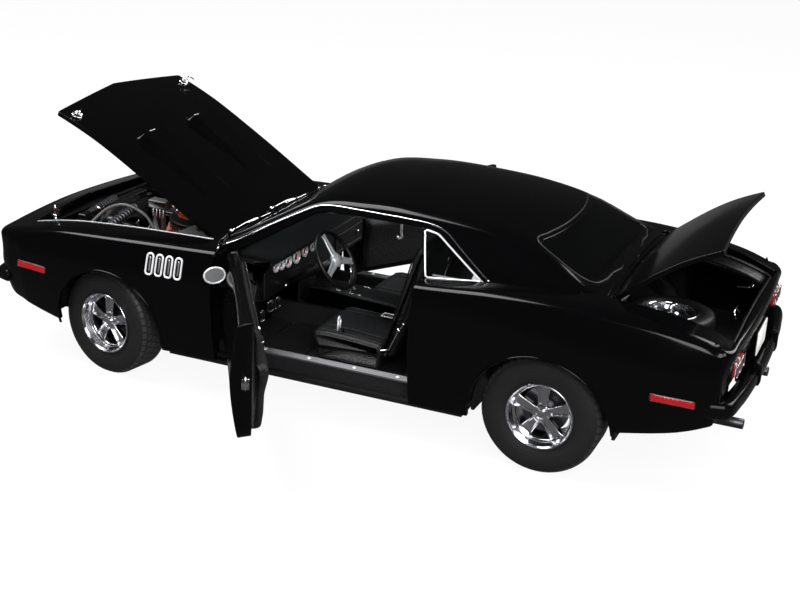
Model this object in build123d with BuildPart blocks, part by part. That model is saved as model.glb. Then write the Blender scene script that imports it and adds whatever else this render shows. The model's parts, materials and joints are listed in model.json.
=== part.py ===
from build123d import *
import math

# A 1:18 die-cast model of an early-seventies two-door hardtop, millimetres throughout.
# X is across the car with its left side at +X, Y runs from the nose (-Y) to the tail (+Y), Z is up.
# The origin is on the ground, midway along and across. Doors, bonnet, boot lid and front wheels
# stand in their displayed pose; each is built shut or straight and then turned about its own axis.

# main sizes
WHEELBASE = 152.4
FRONT_AXLE_Y = -79.2
REAR_AXLE_Y = FRONT_AXLE_Y + WHEELBASE
SKIN = 1.5  # thickness of the cast body
GAP = 0.35  # shut line round each opening panel
FIT = 0.05  # radial play of a wheel, hinge or pin in its hole
SEAT = 0.1  # play of a piece that is pushed into its place

# body sections: y, then z and x of the sill edge, x and z of the widest line, x and z of the
# shoulder, x and z of the crown, z on the centre line
BODY_SECTIONS = [
    (-131.5, 25.0, 44.0, 46.6, 32.5, 45.2, 39.6, 41.5, 41.8, 43.2),
    (-118.0, 21.0, 46.0, 48.8, 34.2, 46.8, 43.2, 42.5, 45.2, 46.8),
    (-100.0, 16.6, 47.6, 50.6, 35.5, 48.0, 46.6, 43.0, 48.6, 50.1),
    (-78.0, 13.5, 48.4, 51.6, 36.5, 48.6, 48.2, 43.0, 50.3, 51.8),
    (-50.0, 13.5, 47.8, 51.0, 36.0, 48.3, 49.2, 43.5, 51.2, 52.6),
    (-30.0, 13.5, 47.4, 50.5, 35.5, 48.0, 49.6, 44.2, 51.6, 53.0),
    (5.0, 13.5, 47.2, 50.3, 35.2, 47.8, 49.8, 45.0, 51.6, 53.0),
    (32.0, 13.5, 47.8, 51.0, 36.0, 48.8, 51.0, 45.0, 53.0, 54.0),
    (55.0, 14.0, 48.6, 52.3, 37.5, 49.8, 52.8, 44.8, 55.2, 56.5),
    (74.0, 14.5, 49.0, 52.8, 38.0, 50.0, 53.4, 44.3, 56.0, 57.8),
    (95.0, 18.6, 48.6, 52.2, 37.5, 49.2, 52.2, 43.4, 55.0, 57.0),
    (115.0, 22.6, 47.0, 50.4, 36.5, 47.6, 49.4, 42.0, 51.9, 53.9),
    (131.5, 28.0, 44.5, 47.4, 35.0, 45.2, 43.6, 41.0, 45.8, 47.9),
]
CROWN_BULGE = 0.45  # how far the crown arc stands off its chord

# roof sections: y, x at the belt, x and z of the roof rail, z on the centre line
ROOF_SECTIONS = [
    (-40.5, 42.5, 41.5, 50.8, 52.9),
    (-9.0, 44.2, 32.6, 66.8, 71.6),
    (8.0, 44.4, 33.6, 68.4, 73.8),
    (30.0, 45.0, 34.0, 68.2, 73.6),
    (48.0, 45.4, 34.2, 66.6, 72.2),
    (61.0, 45.2, 34.4, 64.4, 69.8),
    (81.0, 44.0, 38.0, 56.6, 58.8),
    (90.0, 42.0, 40.0, 53.6, 56.0),
]
ROOF_BASE_Z = 45.0
RAIL_WIDTH = 6.0  # across the rounded edge of the roof
RAIL_RISE = 0.62  # share of the roof's crown reached at its inner edge

# openings
HOOD_HALF = 37.5
HOOD_CORNER_Y = -114.0
HOOD_PEAK_Y = -118.5
HOOD_REAR_Y = -43.0
COWL_Y = -40.7
HOOD_THICK = 1.6
HOOD_PIVOT = (-43.9, 49.0)
HOOD_OPEN = 34.0

DECK_HALF = 37.0
DECK_FRONT_Y = 88.4
DECK_REAR_Y = 125.2
DECK_HOLE_Y = 86.9  # front edge of the boot opening
DECK_STEP = (0.9, 1.2)  # depth and length of the step along the lid's front edge
DECK_PIVOT = (90.2, 53.2)
DECK_OPEN = 45.0
DECK_THICK = 1.6
DECK_CUT_Z = 45.0  # the lid and its opening are cut down to here

DOOR_FRONT_Y = -38.2
DOOR_REAR_Y = 30.5
DOOR_SILL_Z = 15.9
DOOR_INNER_X = 44.6
DOOR_CORNER = 5.0
DOOR_PIVOT = (49.1, -34.0)
DOOR_OPEN = 57.0
BELT_CUT_Z = 50.0
PILLAR_Y = -33.0  # the foot of the windscreen pillar ends here

WINDOW_POINTS = [(-34.5, 52.0), (-9.5, 65.9), (8.0, 67.1), (29.0, 67.0), (33.5, 66.2), (51.0, 54.6),
                 (31.5, 51.5)]
QUARTER_POINTS = [(27.6, 65.8), (33.0, 65.5), (49.8, 54.9), (32.2, 53.4)]
SCREEN_FRONT = [(-37.6, 53.2), (-29.5, 67.2), (29.5, 67.2), (37.6, 53.2)]
SCREEN_REAR = [(-34.2, 57.8), (-29.6, 66.6), (29.6, 66.6), (34.2, 57.8)]

FRONT_ARCH = (-78.4, 17.6, 20.6)
REAR_ARCH = (72.8, 16.2, 22.6)

# wheels
FRONT_TYRE = (18.2, 13.0)  # radius and width
REAR_TYRE = (18.8, 15.0)
FRONT_WHEEL_X = 41.4
REAR_WHEEL_X = 41.6
RIM_RADIUS = 10.4
LIP_RADIUS = 11.0  # outer edge of the rim's polished lip
HUB_BORE = 1.5
KINGPIN_X = 37.4
STEER = 10.0  # both front wheels turned to the right


def save(builder, label):
    builder.part.label = label
    export_step(builder.part, f"parts/{label}.step")


def block(low, high):
    """A box between two corners, kept apart from any builder."""
    size = [b - a for a, b in zip(low, high)]
    mid = [(a + b) / 2 for a, b in zip(low, high)]
    return Pos(*mid) * Box(*size, mode=Mode.PRIVATE)


def both_sides(part):
    return part + mirror(part, about=Plane.YZ, mode=Mode.PRIVATE)


# body surfaces
def body_hull(wall=0.0, top=0.0, drop=0.0):
    """The lower body as a solid, taken in by wall at the sides and top at the top, run down by drop."""
    with BuildPart() as hull:
        for y, z_sill, x_sill, x_wide, z_wide, x_side, z_side, x_crown, z_crown, z_mid in BODY_SECTIONS:
            side = (x_side - wall, z_side - top)
            crown = (x_crown - wall, z_crown - top)
            bulge = ((side[0] + crown[0]) / 2 + CROWN_BULGE, (side[1] + crown[1]) / 2 + CROWN_BULGE)
            wide = (x_wide - wall, z_wide)
            sill = (x_sill - wall, z_sill - drop)
            with BuildSketch(Plane.XZ.offset(-y)):
                with BuildLine():
                    flip = [(-p[0], p[1]) for p in (side, wide, sill)]
                    Polyline(*flip, sill, wide, side)
                    ThreePointArc(side, bulge, crown)
                    Polyline(crown, (0, z_mid - top), (-crown[0], crown[1]))
                    ThreePointArc((-crown[0], crown[1]), (-bulge[0], bulge[1]), (-side[0], side[1]))
                make_face()
        loft(ruled=True)
    return hull.part


def roof_hull(wall=0.0):
    """Pillars, screens and roof as one solid, taken in by wall."""
    with BuildPart() as hull:
        for y, x_belt, x_rail, z_rail, z_mid in ROOF_SECTIONS:
            rail = (x_rail - wall, z_rail - wall * 0.5)
            edge = (x_rail - RAIL_WIDTH - wall * 0.5, z_rail + (z_mid - z_rail) * RAIL_RISE - wall)
            turn = ((rail[0] * 0.62 + edge[0] * 0.38), rail[1] * 0.34 + edge[1] * 0.66)
            with BuildSketch(Plane.XZ.offset(-y)):
                with BuildLine():
                    belt = (x_belt - wall, ROOF_BASE_Z)
                    Polyline((-rail[0], rail[1]), (-belt[0], belt[1]), belt, rail)
                    ThreePointArc(rail, turn, edge)
                    ThreePointArc(edge, (0, z_mid - wall), (-edge[0], edge[1]))
                    ThreePointArc((-edge[0], edge[1]), (-turn[0], turn[1]), (-rail[0], rail[1]))
                make_face()
        loft(ruled=True)
    return hull.part


def plan_prism(points, low=0.0, high=90.0):
    """A prism standing on an outline given in x and y."""
    with BuildPart() as prism:
        with BuildSketch(Plane.XY.offset(low)):
            with BuildLine():
                Polyline(*points, close=True)
            make_face()
        extrude(amount=high - low)
    return prism.part


def side_prism(points, x_low, x_high, radius=0.0):
    """A prism across the car on an outline given in y and z."""
    with BuildPart() as prism:
        with BuildSketch(Plane.YZ.offset(x_low)) as outline:
            with BuildLine():
                Polyline(*points, close=True)
            make_face()
            if radius:
                fillet(outline.vertices().sort_by(Axis.X)[-2:].sort_by(Axis.Y)[0], radius)
        extrude(amount=x_high - x_low)
    return prism.part


def front_prism(points, y_low, y_high):
    """A prism along the car on an outline given in x and z."""
    with BuildPart() as prism:
        with BuildSketch(Plane.XZ.offset(-y_high)):
            with BuildLine():
                Polyline(*points, close=True)
            make_face()
        extrude(amount=y_high - y_low)
    return prism.part


NOSE_PLAN = [(-70, 0), (-52, -100), (-47.6, -121.0), (-44.5, -125.4), (-22, -128.2), (0, -129.4)]
NOSE_PLAN += [(-x, y) for x, y in reversed(NOSE_PLAN[:-1])]
TAIL_PLAN = [(70, 0), (54, 100), (48.4, 124.0), (45.6, 127.2), (24, 128.6), (0, 129.2)]
TAIL_PLAN += [(-x, y) for x, y in reversed(TAIL_PLAN[:-1])]
NOSE_SIDE = [(0, 90), (-129.4, 90), (-129.4, 43.0), (-126.0, 31.0), (-124.6, 24.0), (-116.0, 10.0), (0, 5)]
TAIL_SIDE = [(0, 90), (130.0, 90), (128.4, 49.0), (126.4, 38.0), (126.0, 28.0), (122.0, 15.0), (0, 5)]

lower = body_hull()
lower = lower & (plan_prism(NOSE_PLAN) + plan_prism(TAIL_PLAN))
lower = lower & (side_prism(NOSE_SIDE, -70, 70) + side_prism(TAIL_SIDE, -70, 70))
roof = roof_hull()
cavity = body_hull(wall=SKIN, top=SKIN, drop=12.0) & block((-60, -113.5, 0), (60, 122.5, 80))
cabin_air = roof_hull(wall=SKIN) & block((-60, -39.0, ROOF_BASE_Z), (60, 84.0, 90))

hood_points = [
    (-HOOD_HALF, HOOD_REAR_Y), (-HOOD_HALF, HOOD_CORNER_Y), (0, HOOD_PEAK_Y),
    (HOOD_HALF, HOOD_CORNER_Y), (HOOD_HALF, HOOD_REAR_Y),
]
hood_hole = [(x + math.copysign(GAP, x), y - GAP if y < HOOD_REAR_Y else COWL_Y) for x, y in hood_points]
hood_hole[2] = (0, HOOD_PEAK_Y - GAP)
deck_points = [(-DECK_HALF, DECK_FRONT_Y), (DECK_HALF, DECK_FRONT_Y), (DECK_HALF - 1.5, DECK_REAR_Y),
               (-DECK_HALF + 1.5, DECK_REAR_Y)]
deck_hole = [(x + math.copysign(GAP, x), DECK_HOLE_Y if y < DECK_REAR_Y else y + GAP)
             for x, y in deck_points]
door_points = [(DOOR_FRONT_Y, DOOR_SILL_Z), (DOOR_FRONT_Y, 54.0), (DOOR_REAR_Y, 54.0),
               (DOOR_REAR_Y, DOOR_SILL_Z)]

shell = lower + roof - cavity - cabin_air
shell -= plan_prism(hood_hole, low=40.0)
shell -= plan_prism(deck_hole, low=DECK_CUT_Z)
shell -= both_sides(side_prism(door_points, DOOR_INNER_X - 1.6, 70.0, DOOR_CORNER))
shell -= both_sides(side_prism([(max(y, PILLAR_Y), z) for y, z in door_points], 36.0, 70.0, DOOR_CORNER))
for x_low, x_high in ((24.0, 70.0), (-70.0, -24.0)):
    shell -= side_prism(WINDOW_POINTS, x_low, x_high)
shell -= front_prism(SCREEN_FRONT, -45, -4)
shell -= front_prism(SCREEN_REAR, 55, 95)
for y, z, radius in (FRONT_ARCH, REAR_ARCH):
    for x in (50, -50):
        shell -= Pos(x, y, z) * Rot(0, 90, 0) * Cylinder(radius, 40, mode=Mode.PRIVATE)
    shell -= block((-70, y - radius, 0), (70, y + radius, z))

# blade bumpers, let into the skin
FRONT_BLADE = [(-48.5, -119.0), (-48.2, -122.0), (-45.4, -126.6), (-23, -130.2), (0, -131.7)]
FRONT_BLADE += [(-x, y) for x, y in reversed(FRONT_BLADE[:-1])]
FRONT_BLADE_IN = [(44.4, -119.0), (44.0, -121.0), (22, -126.0), (0, -127.4), (-22, -126.0), (-44.0, -121.0),
                  (-44.4, -119.0)]
FRONT_BLADE_Z = (25.8, 30.2)
REAR_BLADE = [(-48.6, 120.0), (-48.4, 123.5), (-46.0, 128.6), (-24, 131.0), (0, 131.7)]
REAR_BLADE += [(-x, y) for x, y in reversed(REAR_BLADE[:-1])]
REAR_BLADE_IN = [(44.2, 120.0), (44.0, 124.5), (0, 125.4), (-44.0, 124.5), (-44.2, 120.0)]
REAR_BLADE_Z = (28.4, 33.8)
bumpers = {}
for label, outline, inner, band in (
    ("front_bumper", FRONT_BLADE, FRONT_BLADE_IN, FRONT_BLADE_Z),
    ("rear_bumper", REAR_BLADE, REAR_BLADE_IN, REAR_BLADE_Z),
):
    bumpers[label] = plan_prism(outline + inner, *band)
    shell -= plan_prism(outline + inner, band[0] - SEAT, band[1] + SEAT)

GRILLE_Z = (30.4, 39.4)
GRILLE_HALF = 42.0
shell -= block((-GRILLE_HALF, -140, GRILLE_Z[0]), (GRILLE_HALF, -110, GRILLE_Z[1]))
shell -= block((-43.0, -121.5, 0), (43.0, -112, 28.5))
LAMP_Z = (38.2, 44.2)
LAMP_X = (27.0, 42.6)
TAIL_INNER_Y = 124.6
shell -= both_sides(block((LAMP_X[0], TAIL_INNER_Y, LAMP_Z[0]), (LAMP_X[1], 140, LAMP_Z[1])))

ROCKER_SPLIT_Y = 0.0  # the strip under the door is shared by the panels before and behind it
COWL_BLOCK = ((-41.5, -41.5, 45.0), (41.5, -30.0, 80.0))
cowl = block(*COWL_BLOCK)
upper_zone = cowl + block((-70, DOOR_FRONT_Y, BELT_CUT_Z), (70, DOOR_REAR_Y, 90))
upper_zone += block((-45.6, DOOR_REAR_Y, 54.4), (45.6, DECK_HOLE_Y, 90))
zones = {
    "nose_panel": block((-70, -140, 0), (70, -112.0, 60)),
    "front_fender_left": block((0, -112.0, 0), (70, ROCKER_SPLIT_Y, 60)) - upper_zone,
    "front_fender_right": block((-70, -112.0, 0), (0, ROCKER_SPLIT_Y, 60)) - upper_zone,
    "roof_and_pillars": upper_zone,
    "quarter_panel_left": block((0, ROCKER_SPLIT_Y, 0), (70, 121.0, 90)) - upper_zone,
    "quarter_panel_right": block((-70, ROCKER_SPLIT_Y, 0), (0, 121.0, 90)) - upper_zone,
    "tail_panel": block((-70, 121.0, 0), (70, 140, 90)),
}
for label, zone in zones.items():
    with BuildPart() as panel:
        add(shell & zone)
    save(panel, label)
print("shell done")

for label, solid in bumpers.items():
    with BuildPart() as blade:
        add(solid)
    save(blade, label)

# bonnet: skin, two scoops, two pin sleeves
hood_skin = (lower & plan_prism(hood_points, low=40.0)) - body_hull(top=HOOD_THICK)
HOOD_TURN = (0, HOOD_PIVOT[0], HOOD_PIVOT[1])
SCOOP = [(-93.0, 46.0), (-90.0, 54.2), (-62.0, 53.6), (-58.0, 48.0)]
SCOOP_X = (9.0, 23.0)


def opened(part, pivot, angle, axis=(1, 0, 0)):
    """The part turned about a hinge line through pivot."""
    return part.rotate(Axis(pivot, axis), angle)


scoops = side_prism(SCOOP, *SCOOP_X)
scoops -= body_hull(top=HOOD_THICK * 0.5)
scoops -= block((SCOOP_X[0] + 1, -99, 51.6), (SCOOP_X[1] - 1, -90.2, 53.0))
ARM_X = (34.4, 36.0)
LUG_X = (36.2, 37.6)
PIN_RADIUS = 0.8
arm = side_prism([(-44.9, 48.2), (-43.0, 48.2), (-43.3, 52), (-62.0, 53.0), (-60.0, 49.5)], *ARM_X)
arm &= body_hull(top=HOOD_THICK)
arm += Pos((ARM_X[0] + LUG_X[1]) / 2 - 0.1, *HOOD_PIVOT) * Rot(0, 90, 0) * Cylinder(
    PIN_RADIUS, LUG_X[1] - ARM_X[0] - 0.2, mode=Mode.PRIVATE)
with BuildPart() as hood:
    add(opened(hood_skin + both_sides(scoops) + both_sides(arm), HOOD_TURN, -HOOD_OPEN))
save(hood, "hood")

# boot lid
deck_skin = (lower & plan_prism(deck_points, low=DECK_CUT_Z)) - body_hull(top=DECK_THICK)
deck_skin -= block((-60, 80, 40), (60, DECK_FRONT_Y + DECK_STEP[1], 80)) - body_hull(top=DECK_STEP[0])
DECK_TURN = (0, DECK_PIVOT[0], DECK_PIVOT[1])
deck_arm = side_prism([(89.3, 52.3), (91.2, 52.3), (106.0, 51.8), (108.0, 58.0), (89.3, 58.0)], *ARM_X)
deck_arm &= body_hull(top=DECK_THICK)
deck_arm += Pos((ARM_X[0] + LUG_X[1]) / 2 - 0.1, *DECK_PIVOT) * Rot(0, 90, 0) * Cylinder(
    PIN_RADIUS, LUG_X[1] - ARM_X[0] - 0.2, mode=Mode.PRIVATE)
with BuildPart() as deck:
    add(opened(deck_skin + both_sides(deck_arm), DECK_TURN, DECK_OPEN))
save(deck, "boot_lid")

# doors with mirror, armrest and handle
door_shape = [(DOOR_FRONT_Y + GAP, DOOR_SILL_Z + GAP), (DOOR_FRONT_Y + GAP, 60),
              (DOOR_REAR_Y - GAP, 60), (DOOR_REAR_Y - GAP, DOOR_SILL_Z + GAP)]
MIRROR_AT = (52.6, -26.6, 49.6)
MIRROR_SIZE = (3.6, 2.2, 3.0)
HINGE_Z = (34.2, 36.0)
HINGE_PIN = (0.5, 32.5, 37.7)  # radius, lower and upper end
HINGE_END = 0.75  # radius of the rounded end of the hinge arm
HINGE_ROOM = 0.3
door = lower & side_prism(door_shape, DOOR_INNER_X, 70, DOOR_CORNER - GAP)
door -= block((DOOR_INNER_X - 1, DOOR_FRONT_Y, HINGE_Z[0] - HINGE_ROOM),
              (DOOR_PIVOT[0] + 0.2, DOOR_PIVOT[1] + HINGE_END + HINGE_ROOM, HINGE_Z[1] + HINGE_ROOM))
door -= Pos(*DOOR_PIVOT, sum(HINGE_Z) / 2) * Cylinder(
    HINGE_END + HINGE_ROOM, HINGE_Z[1] - HINGE_Z[0] + 2 * HINGE_ROOM, mode=Mode.PRIVATE)
door -= Pos(*DOOR_PIVOT, (HINGE_PIN[1] + HINGE_PIN[2]) / 2) * Cylinder(
    HINGE_PIN[0] + FIT, HINGE_PIN[2] - HINGE_PIN[1] + 2 * HINGE_ROOM, mode=Mode.PRIVATE)
TRIM_Y = (-33.0, 28.0)
trim_shape = [(DOOR_INNER_X, 19.6), (41.2, 19.6), (40.6, 30.0), (39.4, 35.6), (39.4, 38.2), (41.4, 39.4),
              (41.6, 47.0), (42.8, 49.8), (DOOR_INNER_X, 49.8)]
housing = Pos(*MIRROR_AT) * Rot(90, 0, 0) * Cylinder(MIRROR_SIZE[2], MIRROR_SIZE[1], mode=Mode.PRIVATE)
door += housing
door += block((47.2, MIRROR_AT[1] - 1.0, 45.0), (52.0, MIRROR_AT[1] + 1.0, 49.0))
for label, flip in (("left", False), ("right", True)):
    leaf_solid = opened(door, (*DOOR_PIVOT, 0), -DOOR_OPEN, (0, 0, 1))
    with BuildPart() as leaf:
        add(mirror(leaf_solid, about=Plane.YZ, mode=Mode.PRIVATE) if flip else leaf_solid)
    save(leaf, f"door_{label}")
    lining_solid = opened(front_prism(trim_shape, *TRIM_Y), (*DOOR_PIVOT, 0), -DOOR_OPEN, (0, 0, 1))
    with BuildPart() as lining:
        add(mirror(lining_solid, about=Plane.YZ, mode=Mode.PRIVATE) if flip else lining_solid)
    save(lining, f"door_trim_{label}")
print("panels done")

# glass
pane = roof_hull(wall=0.3) - roof_hull(wall=1.1)


def shrunk(points, by):
    """The outline drawn in towards its middle by a distance."""
    mid_a = sum(p[0] for p in points) / len(points)
    mid_b = sum(p[1] for p in points) / len(points)
    return [(a - math.copysign(by, a - mid_a), b - math.copysign(by, b - mid_b)) for a, b in points]


with BuildPart() as windscreen:
    add(pane & front_prism(shrunk(SCREEN_FRONT, SEAT), -44, -4.2))
save(windscreen, "windscreen")
with BuildPart() as rear_glass:
    add(pane & front_prism(shrunk(SCREEN_REAR, SEAT), 55.2, 95))
save(rear_glass, "rear_window")
with BuildPart() as quarter_glass:
    add(both_sides(pane & side_prism(shrunk(QUARTER_POINTS, SEAT), 24, 60)))
save(quarter_glass, "quarter_windows")

# chassis plate, rails and moulded underside
FLOOR_Z = (12.0, 13.4)
BOOT_FLOOR_Z = (28.4, 29.8)
KICK_Y = 48.0
WELL_FRONT_X = 27.6
WELL_REAR_X = 32.2
with BuildPart() as chassis:
    add(block((-WELL_FRONT_X, -112.3, FLOOR_Z[0]), (WELL_FRONT_X, -40, FLOOR_Z[1])))
    add(block((-46.4, -56.0, FLOOR_Z[0]), (46.4, KICK_Y, FLOOR_Z[1])))
    add(block((-46.0, KICK_Y - 1.4, FLOOR_Z[0]), (46.0, KICK_Y, 20)))
    add(block((-WELL_REAR_X, KICK_Y - 1.4, FLOOR_Z[0]), (WELL_REAR_X, KICK_Y, BOOT_FLOOR_Z[1])))
    add(block((-WELL_REAR_X, KICK_Y - 1.4, BOOT_FLOOR_Z[0]), (WELL_REAR_X, 120.9, BOOT_FLOOR_Z[1])))
    add(block((-42.5, 98.0, BOOT_FLOOR_Z[0]), (42.5, 120.9, BOOT_FLOOR_Z[1])))
    for side in (-1, 1):
        with Locations((side * 22.0, -76.0, 10.6), (side * 27.0, 10.0, 10.8)):
            Box(3.4, 71.0, 2.8)
        with Locations((side * 29.8, 84.5, 27.0)):
            Box(3.0, 73.0, 2.8)
        with Locations((side * 17.6, FRONT_AXLE_Y, 10.4)):
            Box(19.0, 8.0, 3.2)
    with Locations([(x, y, 11.7) for x in (-34.0, 34.0) for y in (-38.0, 38.0)]):
        Cylinder(2.6, 3.4)
        Cylinder(1.25, 3.4, mode=Mode.SUBTRACT)
save(chassis, "chassis")
print("chassis done")

# cabin
TUB_Z = (13.5, 14.9)
SILL_TOP = 18.5
SILL_X = (40.6, 44.3)
TUNNEL_HALF = 6.4
TUNNEL_TOP = 22.0
BULKHEAD_Y = 60.0
SHELF_Z = 50.6
with BuildPart() as tub:
    add(block((-44.3, -39.2, TUB_Z[0]), (44.3, 46.5, TUB_Z[1])))
    add(block((-TUNNEL_HALF, -39.2, TUB_Z[0]), (TUNNEL_HALF, 36.0, TUNNEL_TOP)))
    add(both_sides(block((SILL_X[0], -39.2, TUB_Z[0]), (SILL_X[0] + 2.0, 46.5, SILL_TOP))))
    add(both_sides(block((SILL_X[0], -28.0, TUB_Z[0]), (SILL_X[1], 46.5, SILL_TOP))))
    add(block((-40.6, 35.0, TUB_Z[0]), (40.6, 46.5, 20.0)))
    add(block((-WELL_REAR_X, 44.0, 30.0), (WELL_REAR_X, BULKHEAD_Y, 31.4)))
    add(block((-WELL_REAR_X, 45.1, TUB_Z[0]), (WELL_REAR_X, 46.5, 31.4)))
    add(block((-33.3, BULKHEAD_Y - 1.4, 30.0), (33.3, BULKHEAD_Y, SHELF_Z)))
    add(block((-42.4, BULKHEAD_Y - 1.4, 41.0), (42.4, BULKHEAD_Y, SHELF_Z)))
    add(block((-42.0, BULKHEAD_Y - 1.4, SHELF_Z - 1.2), (42.0, 80.0, SHELF_Z)))
    add(both_sides(block((WELL_REAR_X + 0.1, 46.6, 20.1), (WELL_REAR_X + 1.1, BULKHEAD_Y, 50.0))))
    add(both_sides(block((42.2, 31.6, SILL_TOP + 0.1), (44.2, 46.5, 49.0))))
save(tub, "cabin_tub")

with BuildPart() as sills:
    add(both_sides(block((SILL_X[0] + 0.3, -27.0, SILL_TOP), (SILL_X[1] + 0.3, 30.0, SILL_TOP + 0.7))))
save(sills, "sill_plates")

SEAT_X = 21.0
SEAT_HALF = 12.4


def bucket_seat(x):
    """A bucket seat on its base, its back leaning a little rearward."""
    pan = [(-7.8, 15.0), (-8.6, 18.8), (-10.2, 22.4), (-9.4, 24.8), (-6.0, 25.6), (14.6, 24.4),
           (15.4, 20.0), (13.0, 15.0)]
    back = [(12.4, 17.5), (16.2, 27.1), (19.9, 41.0), (23.6, 54.6), (25.6, 59.0), (28.4, 59.2),
            (28.8, 56.0), (26.6, 45.5),
            (22.9, 31.6), (18.0, 20.0)]
    seat = side_prism(pan, x - SEAT_HALF, x + SEAT_HALF)
    seat += side_prism(back, x - SEAT_HALF + 0.8, x + SEAT_HALF - 0.8)
    return seat


for label, x in (("front_seat_left", SEAT_X), ("front_seat_right", -SEAT_X)):
    with BuildPart() as seat:
        add(bucket_seat(x))
    save(seat, label)

with BuildPart() as bench:
    rest = [(48.4, 31.5), (50.0, 34.0), (54.0, 49.0), (58.5, 49.4), (58.5, 31.5)]
    add(side_prism([(36.0, 20.1), (36.0, 27.5), (39.0, 30.2), (45.0, 29.0), (45.0, 20.1)], -32, 32))
    add(side_prism([(38.0, 29.0), (40.0, 31.5), (50.0, 31.5), (50.0, 33.5), (39.0, 31.8)], -32, 32))
    add(side_prism(rest, -32, 32))
save(bench, "rear_seat")

DASH_FACE_Y = -24.8
DASH_HALF = 38.8
with BuildPart() as dash:
    profile = [(-39.3, 38.5), (-39.3, 47.6), (-32.0, 47.8), (-22.6, 46.4), (-22.0, 44.4),
               (DASH_FACE_Y, 43.6),
               (DASH_FACE_Y, 33.4), (-29.5, 31.6)]
    add(side_prism(profile, -DASH_HALF, DASH_HALF))
    add(block((-TUNNEL_HALF, -36.0, TUNNEL_TOP + 0.1), (TUNNEL_HALF, -28.0, 38.0)))
save(dash, "dashboard")

with BuildPart() as console:
    add(side_prism([(-27.5, 22.1), (-26.0, 29.0), (20.0, 27.0), (24.0, 22.1)], -5.2, 5.2))
    with Locations((0, -12.0, 32.0)):
        Cylinder(0.6, 10.0)
    with Locations((0, -12.0, 38.0)):
        Box(4.4, 3.0, 1.6)
save(console, "console_and_shifter")

WHEEL_HUB = (20.0, -8.4, 45.4)
WHEEL_TILT = 33.0
with BuildPart() as steering:
    turned = Pos(*WHEEL_HUB) * Rot(WHEEL_TILT - 90, 0, 0)
    add(turned * Torus(9.9, 0.7, mode=Mode.PRIVATE))
    add(turned * Pos(0, 0, 0) * Cylinder(2.0, 1.6, mode=Mode.PRIVATE))
    for angle in (0, 180, 270):
        spoke = turned * Rot(0, 0, angle) * Pos(5.5, 0, 0) * Box(8.8, 1.6, 0.7, mode=Mode.PRIVATE)
        add(spoke)
    add(turned * Pos(0, 0, -12.0) * Cylinder(1.2, 24.0, mode=Mode.PRIVATE) - side_prism(
        [(-60, 0), (-60, 80), (DASH_FACE_Y, 80), (DASH_FACE_Y, 0)], -50, 50))
save(steering, "steering_wheel")
print("cabin done")

# engine bay
WELL_Z = 18.0
WELL_OUT = 22.4
WELL_WALL = 1.0
WELL_LIP_Z = 18.6  # lower edge of the front wall of each front wheel well
BAY_FRONT_Y = (-113.2, -112.0)
BAY_FRONT_TOP = 44.6  # clear of the closed hood's skin
with BuildPart() as bay:
    add(block((-45.0, -40.6, 13.5), (45.0, -39.4, 48.2)))
    arch_out = Pos(36.5, FRONT_AXLE_Y, WELL_Z) * Rot(0, 90, 0) * Cylinder(WELL_OUT, 17.6, mode=Mode.PRIVATE)
    arch_out += block((WELL_FRONT_X + 0.1, FRONT_AXLE_Y - WELL_OUT, 13.6),
                      (45.3, FRONT_AXLE_Y + WELL_OUT, WELL_Z))
    arch_in = Pos(44.0, FRONT_AXLE_Y, WELL_Z) * Rot(0, 90, 0) * Cylinder(
        WELL_OUT - WELL_WALL, 30.4, mode=Mode.PRIVATE)
    arch_in += block((28.8, FRONT_AXLE_Y - WELL_OUT + WELL_WALL, 0),
                     (60, FRONT_AXLE_Y + WELL_OUT - WELL_WALL, WELL_Z))
    arch_out -= block((0, -140, -20), (60, 0, 13.6))
    arch_out -= block((30.0, -140, -20), (60, FRONT_AXLE_Y - 12.0, WELL_LIP_Z))
    add(both_sides(arch_out - arch_in))
    add(both_sides(block((27.7, -112.0, 13.5), (28.9, -40.6, 36.0)) - arch_in))
    add(both_sides(block((27.7, -112.0, 35.0), (28.9, -40.6, 42.0))))
    add(both_sides(block((27.7, -112.0, 41.0), (44.6, -40.6, 42.2))))
    for half, low, high in ((WELL_FRONT_X, 13.5, 22.0), (44.6, 22.0, 42.4), (33.0, 42.4, BAY_FRONT_TOP)):
        add(block((-half, BAY_FRONT_Y[0], low), (half, BAY_FRONT_Y[1], high)))
    hinge_arm = block((42.6, -39.6, HINGE_Z[0]), (44.4, DOOR_PIVOT[1] + 0.7, HINGE_Z[1]))
    hinge_arm += block((42.6, DOOR_PIVOT[1] - 0.7, HINGE_Z[0]),
                       (DOOR_PIVOT[0], DOOR_PIVOT[1] + 0.7, HINGE_Z[1]))
    hinge_pin = Cylinder(HINGE_END, HINGE_Z[1] - HINGE_Z[0], mode=Mode.PRIVATE)
    hinge_arm += Pos(*DOOR_PIVOT, sum(HINGE_Z) / 2) * hinge_pin
    hinge_arm += Pos(*DOOR_PIVOT, (HINGE_PIN[1] + HINGE_PIN[2]) / 2) * Cylinder(
        HINGE_PIN[0], HINGE_PIN[2] - HINGE_PIN[1], mode=Mode.PRIVATE)
    add(both_sides(hinge_arm))
    slot = block((27.5, FRONT_AXLE_Y - 5.2, 13.3), (29.2, FRONT_AXLE_Y + 5.2, 23.2))
    add(both_sides(slot), mode=Mode.SUBTRACT)
save(bay, "engine_bay")

with BuildPart() as radiator:
    with Locations((0, -108.6, 29.0)):
        Box(46.0, 4.0, 28.0)
    with Locations((0, -108.6, 44.0)):
        Box(40.0, 3.2, 2.4)
    with Locations((0, -105.6, 29.0)):
        Box(40.0, 2.4, 26.0)
    with Locations(Pos(0, -103.4, 29.0) * Rot(90, 0, 0)):
        Cylinder(11.6, 3.0)
        Cylinder(10.6, 3.4, mode=Mode.SUBTRACT)
save(radiator, "radiator")

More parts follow.
